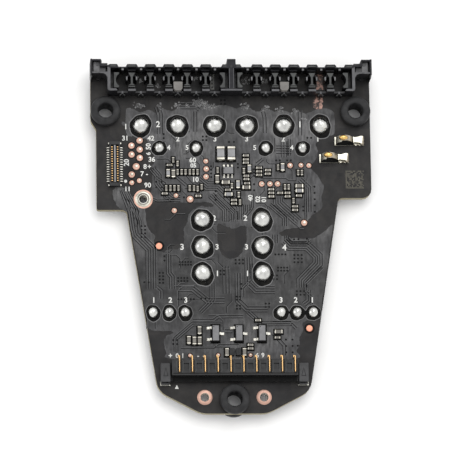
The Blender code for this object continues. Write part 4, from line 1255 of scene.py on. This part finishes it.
BULK_CAPACITORS = [(1.9, -20.5), (5.6, -20.5), (2.3, 13.2), (14.6, 11.2)]
SHUNTS = [(8.7, 4.2), (10.2, -18.0)]


def hung(bm, x, y, size, mat, edge=0.05, lift=0.03):
    """Block hung under the board."""
    width, length, height = size
    block(bm, (x, y, -BOARD_T - lift - height / 2), (width, length, height), mat, edge)


def make_underside_parts():
    """Shunts, capacitors, a regulator and crystals that hang under the board; a reasoned guess."""
    bm = bmesh.new()
    for side in SIDES:
        for x, y in BULK_CAPACITORS:
            hung(bm, side * x, y, (2.1, 1.5, 1.15), 0)
            for end in SIDES:
                hung(bm, side * x, y + end * 0.95, (2.12, 0.42, 1.2), 1)
        for x, y in SHUNTS:
            hung(bm, side * x, y, (1.3, 1.6, 0.55), 3)
            for end in SIDES:
                hung(bm, side * x + end * 0.9, y, (0.45, 1.62, 0.6), 1)
        hung(bm, side * 1.6, -17.4, (2.0, 1.6, 0.6), 2, 0.08)
    hung(bm, 0.0, 4.2, (3.0, 3.0, 0.85), 3)
    finish_mesh("underside_parts", bm, [CERAMIC, NICKEL, TIN, DARK_RESIN])


def make_underside_pads():
    """Solder lands that show round the packages under the board."""
    bm = bmesh.new()
    for name in named("motor_controller_", "power_stage_"):
        low, high = box_of(name)
        four_sided = name.startswith("motor")
        count = 8 if four_sided else 4
        for share in ((k + 0.5) / count for k in range(count)):
            for edge_y in (low.y, high.y):
                hung(bm, low.x + share * (high.x - low.x), edge_y, (0.26, 0.5, 0.1), 0, 0.02, 0.0)
            for edge_x in (low.x, high.x) if four_sided else ():
                hung(bm, edge_x, low.y + share * (high.y - low.y), (0.5, 0.26, 0.1), 0, 0.02, 0.0)
    finish_mesh("underside_pads", bm, [TIN])


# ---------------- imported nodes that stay

def edge_rounding(obj, width):
    """Bevel, width in millimetres, on every edge sharper than EDGE_ANGLE degrees."""
    modifier = obj.modifiers.new("worn_edges", "BEVEL")
    modifier.width = width * MM
    modifier.segments = 2
    modifier.limit_method = "ANGLE"
    modifier.angle_limit = radians(EDGE_ANGLE)


def paint_nodes():
    """Better materials, and slightly rounded edges, for the nodes whose shape is right."""
    looks = {"circuit_board": (MASK, 0), "power_connector_housing": (HOUSING, 0.04),
             "power_connector_end": (END_CAP, 0), "funnel_insert": (TIN, 0.03),
             "signal_connector_housing": (HOUSING, 0.03), "supply_coil": (FERRITE, 0),
             "power_stage": (DARK_RESIN, 0.06), "motor_controller": (DARK_RESIN, 0)}
    for start, (mat, rounding) in looks.items():
        for name in named(start):
            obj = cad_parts[name]
            obj.data.materials.clear()
            obj.data.materials.append(mat)
            if rounding:
                edge_rounding(obj, rounding)


# ---------------- floor, light and camera

def make_stage():
    """White floor, an even white world, and plain tones."""
    bpy.ops.mesh.primitive_plane_add(size=4.0, location=(0.0, 0.0, 0.0))
    floor = bpy.context.object
    floor.name = "floor"
    mat, tree, shader, coords = new_material("white_card", (0.96, 0.96, 0.96), 0.75)
    tone = ramp(tree, noise_of(tree, coords, 4.0), [(0.3, 0.955), (0.7, 0.97)])
    tree.links.new(tone, shader.inputs["Base Color"])
    floor.data.materials.append(mat)
    world = bpy.data.worlds.new("studio")
    bpy.context.scene.world = world
    world.use_nodes = True
    sky = world.node_tree.nodes["Background"]
    sky.inputs["Color"].default_value = (1.0, 1.0, 1.0, 1.0)
    sky.inputs["Strength"].default_value = 0.95
    bpy.context.scene.view_settings.view_transform = "Standard"


def area_light(name, place, size, power):
    """Square light that faces the middle of the scene; sizes are in metres and watts."""
    data = bpy.data.lights.new(name, "AREA")
    data.shape = "SQUARE"
    data.size = size
    data.energy = power
    light = bpy.data.objects.new(name, data)
    light.location = place
    light.rotation_mode = "QUATERNION"
    light.rotation_quaternion = (-Vector(place)).to_track_quat("-Z", "Y")
    bpy.context.scene.collection.objects.link(light)


def make_lights():
    """Two soft boxes, the stronger one behind and above the board."""
    area_light("softbox_above", (0.12, 0.3, 0.75), 0.55, 2.2)
    area_light("softbox_left", (-0.7, 0.1, 0.5), 0.4, 0.6)


def make_camera():
    """Long lens from the left front, turned so that the board stands straight in the picture."""
    azimuth, elevation, roll = radians(-18.0), radians(77.5), radians(17.6)
    distance, lens = 0.652, 320.0
    back = Vector((sin(azimuth) * cos(elevation), -cos(azimuth) * cos(elevation), sin(elevation)))
    level = Vector((cos(azimuth), sin(azimuth), 0.0))
    upright = back.cross(level)
    right = cos(roll) * level + sin(roll) * upright
    up = cos(roll) * upright - sin(roll) * level
    data = bpy.data.cameras.new("photo_view")
    data.lens = lens
    data.sensor_width = 36.0
    data.clip_start = 0.01
    camera = bpy.data.objects.new("photo_view", data)
    aim = spot(-1.15, 0.0, 0.0)
    facing = Matrix((right, up, back)).transposed().to_4x4()
    camera.matrix_world = Matrix.Translation(aim + back * distance) @ facing
    bpy.context.scene.collection.objects.link(camera)
    bpy.context.scene.camera = camera


# ---------------- build

for make in (paint_nodes, make_coating, make_speckles, make_traces, make_stray_tracks, make_vias,
             make_pads, make_copper_rings, make_motor_joints, make_lamp_joints, make_small_chips,
             make_transistors, make_logic_chip, make_signal_contacts, make_legends, make_code_patch,
             make_grommets, make_guide_frame, make_bay_keys, make_bay_marks, make_blades,
             make_housing_details, make_hold_downs, make_spring_contacts, make_underside_parts,
             make_underside_pads, make_stage, make_lights, make_camera):
    make()
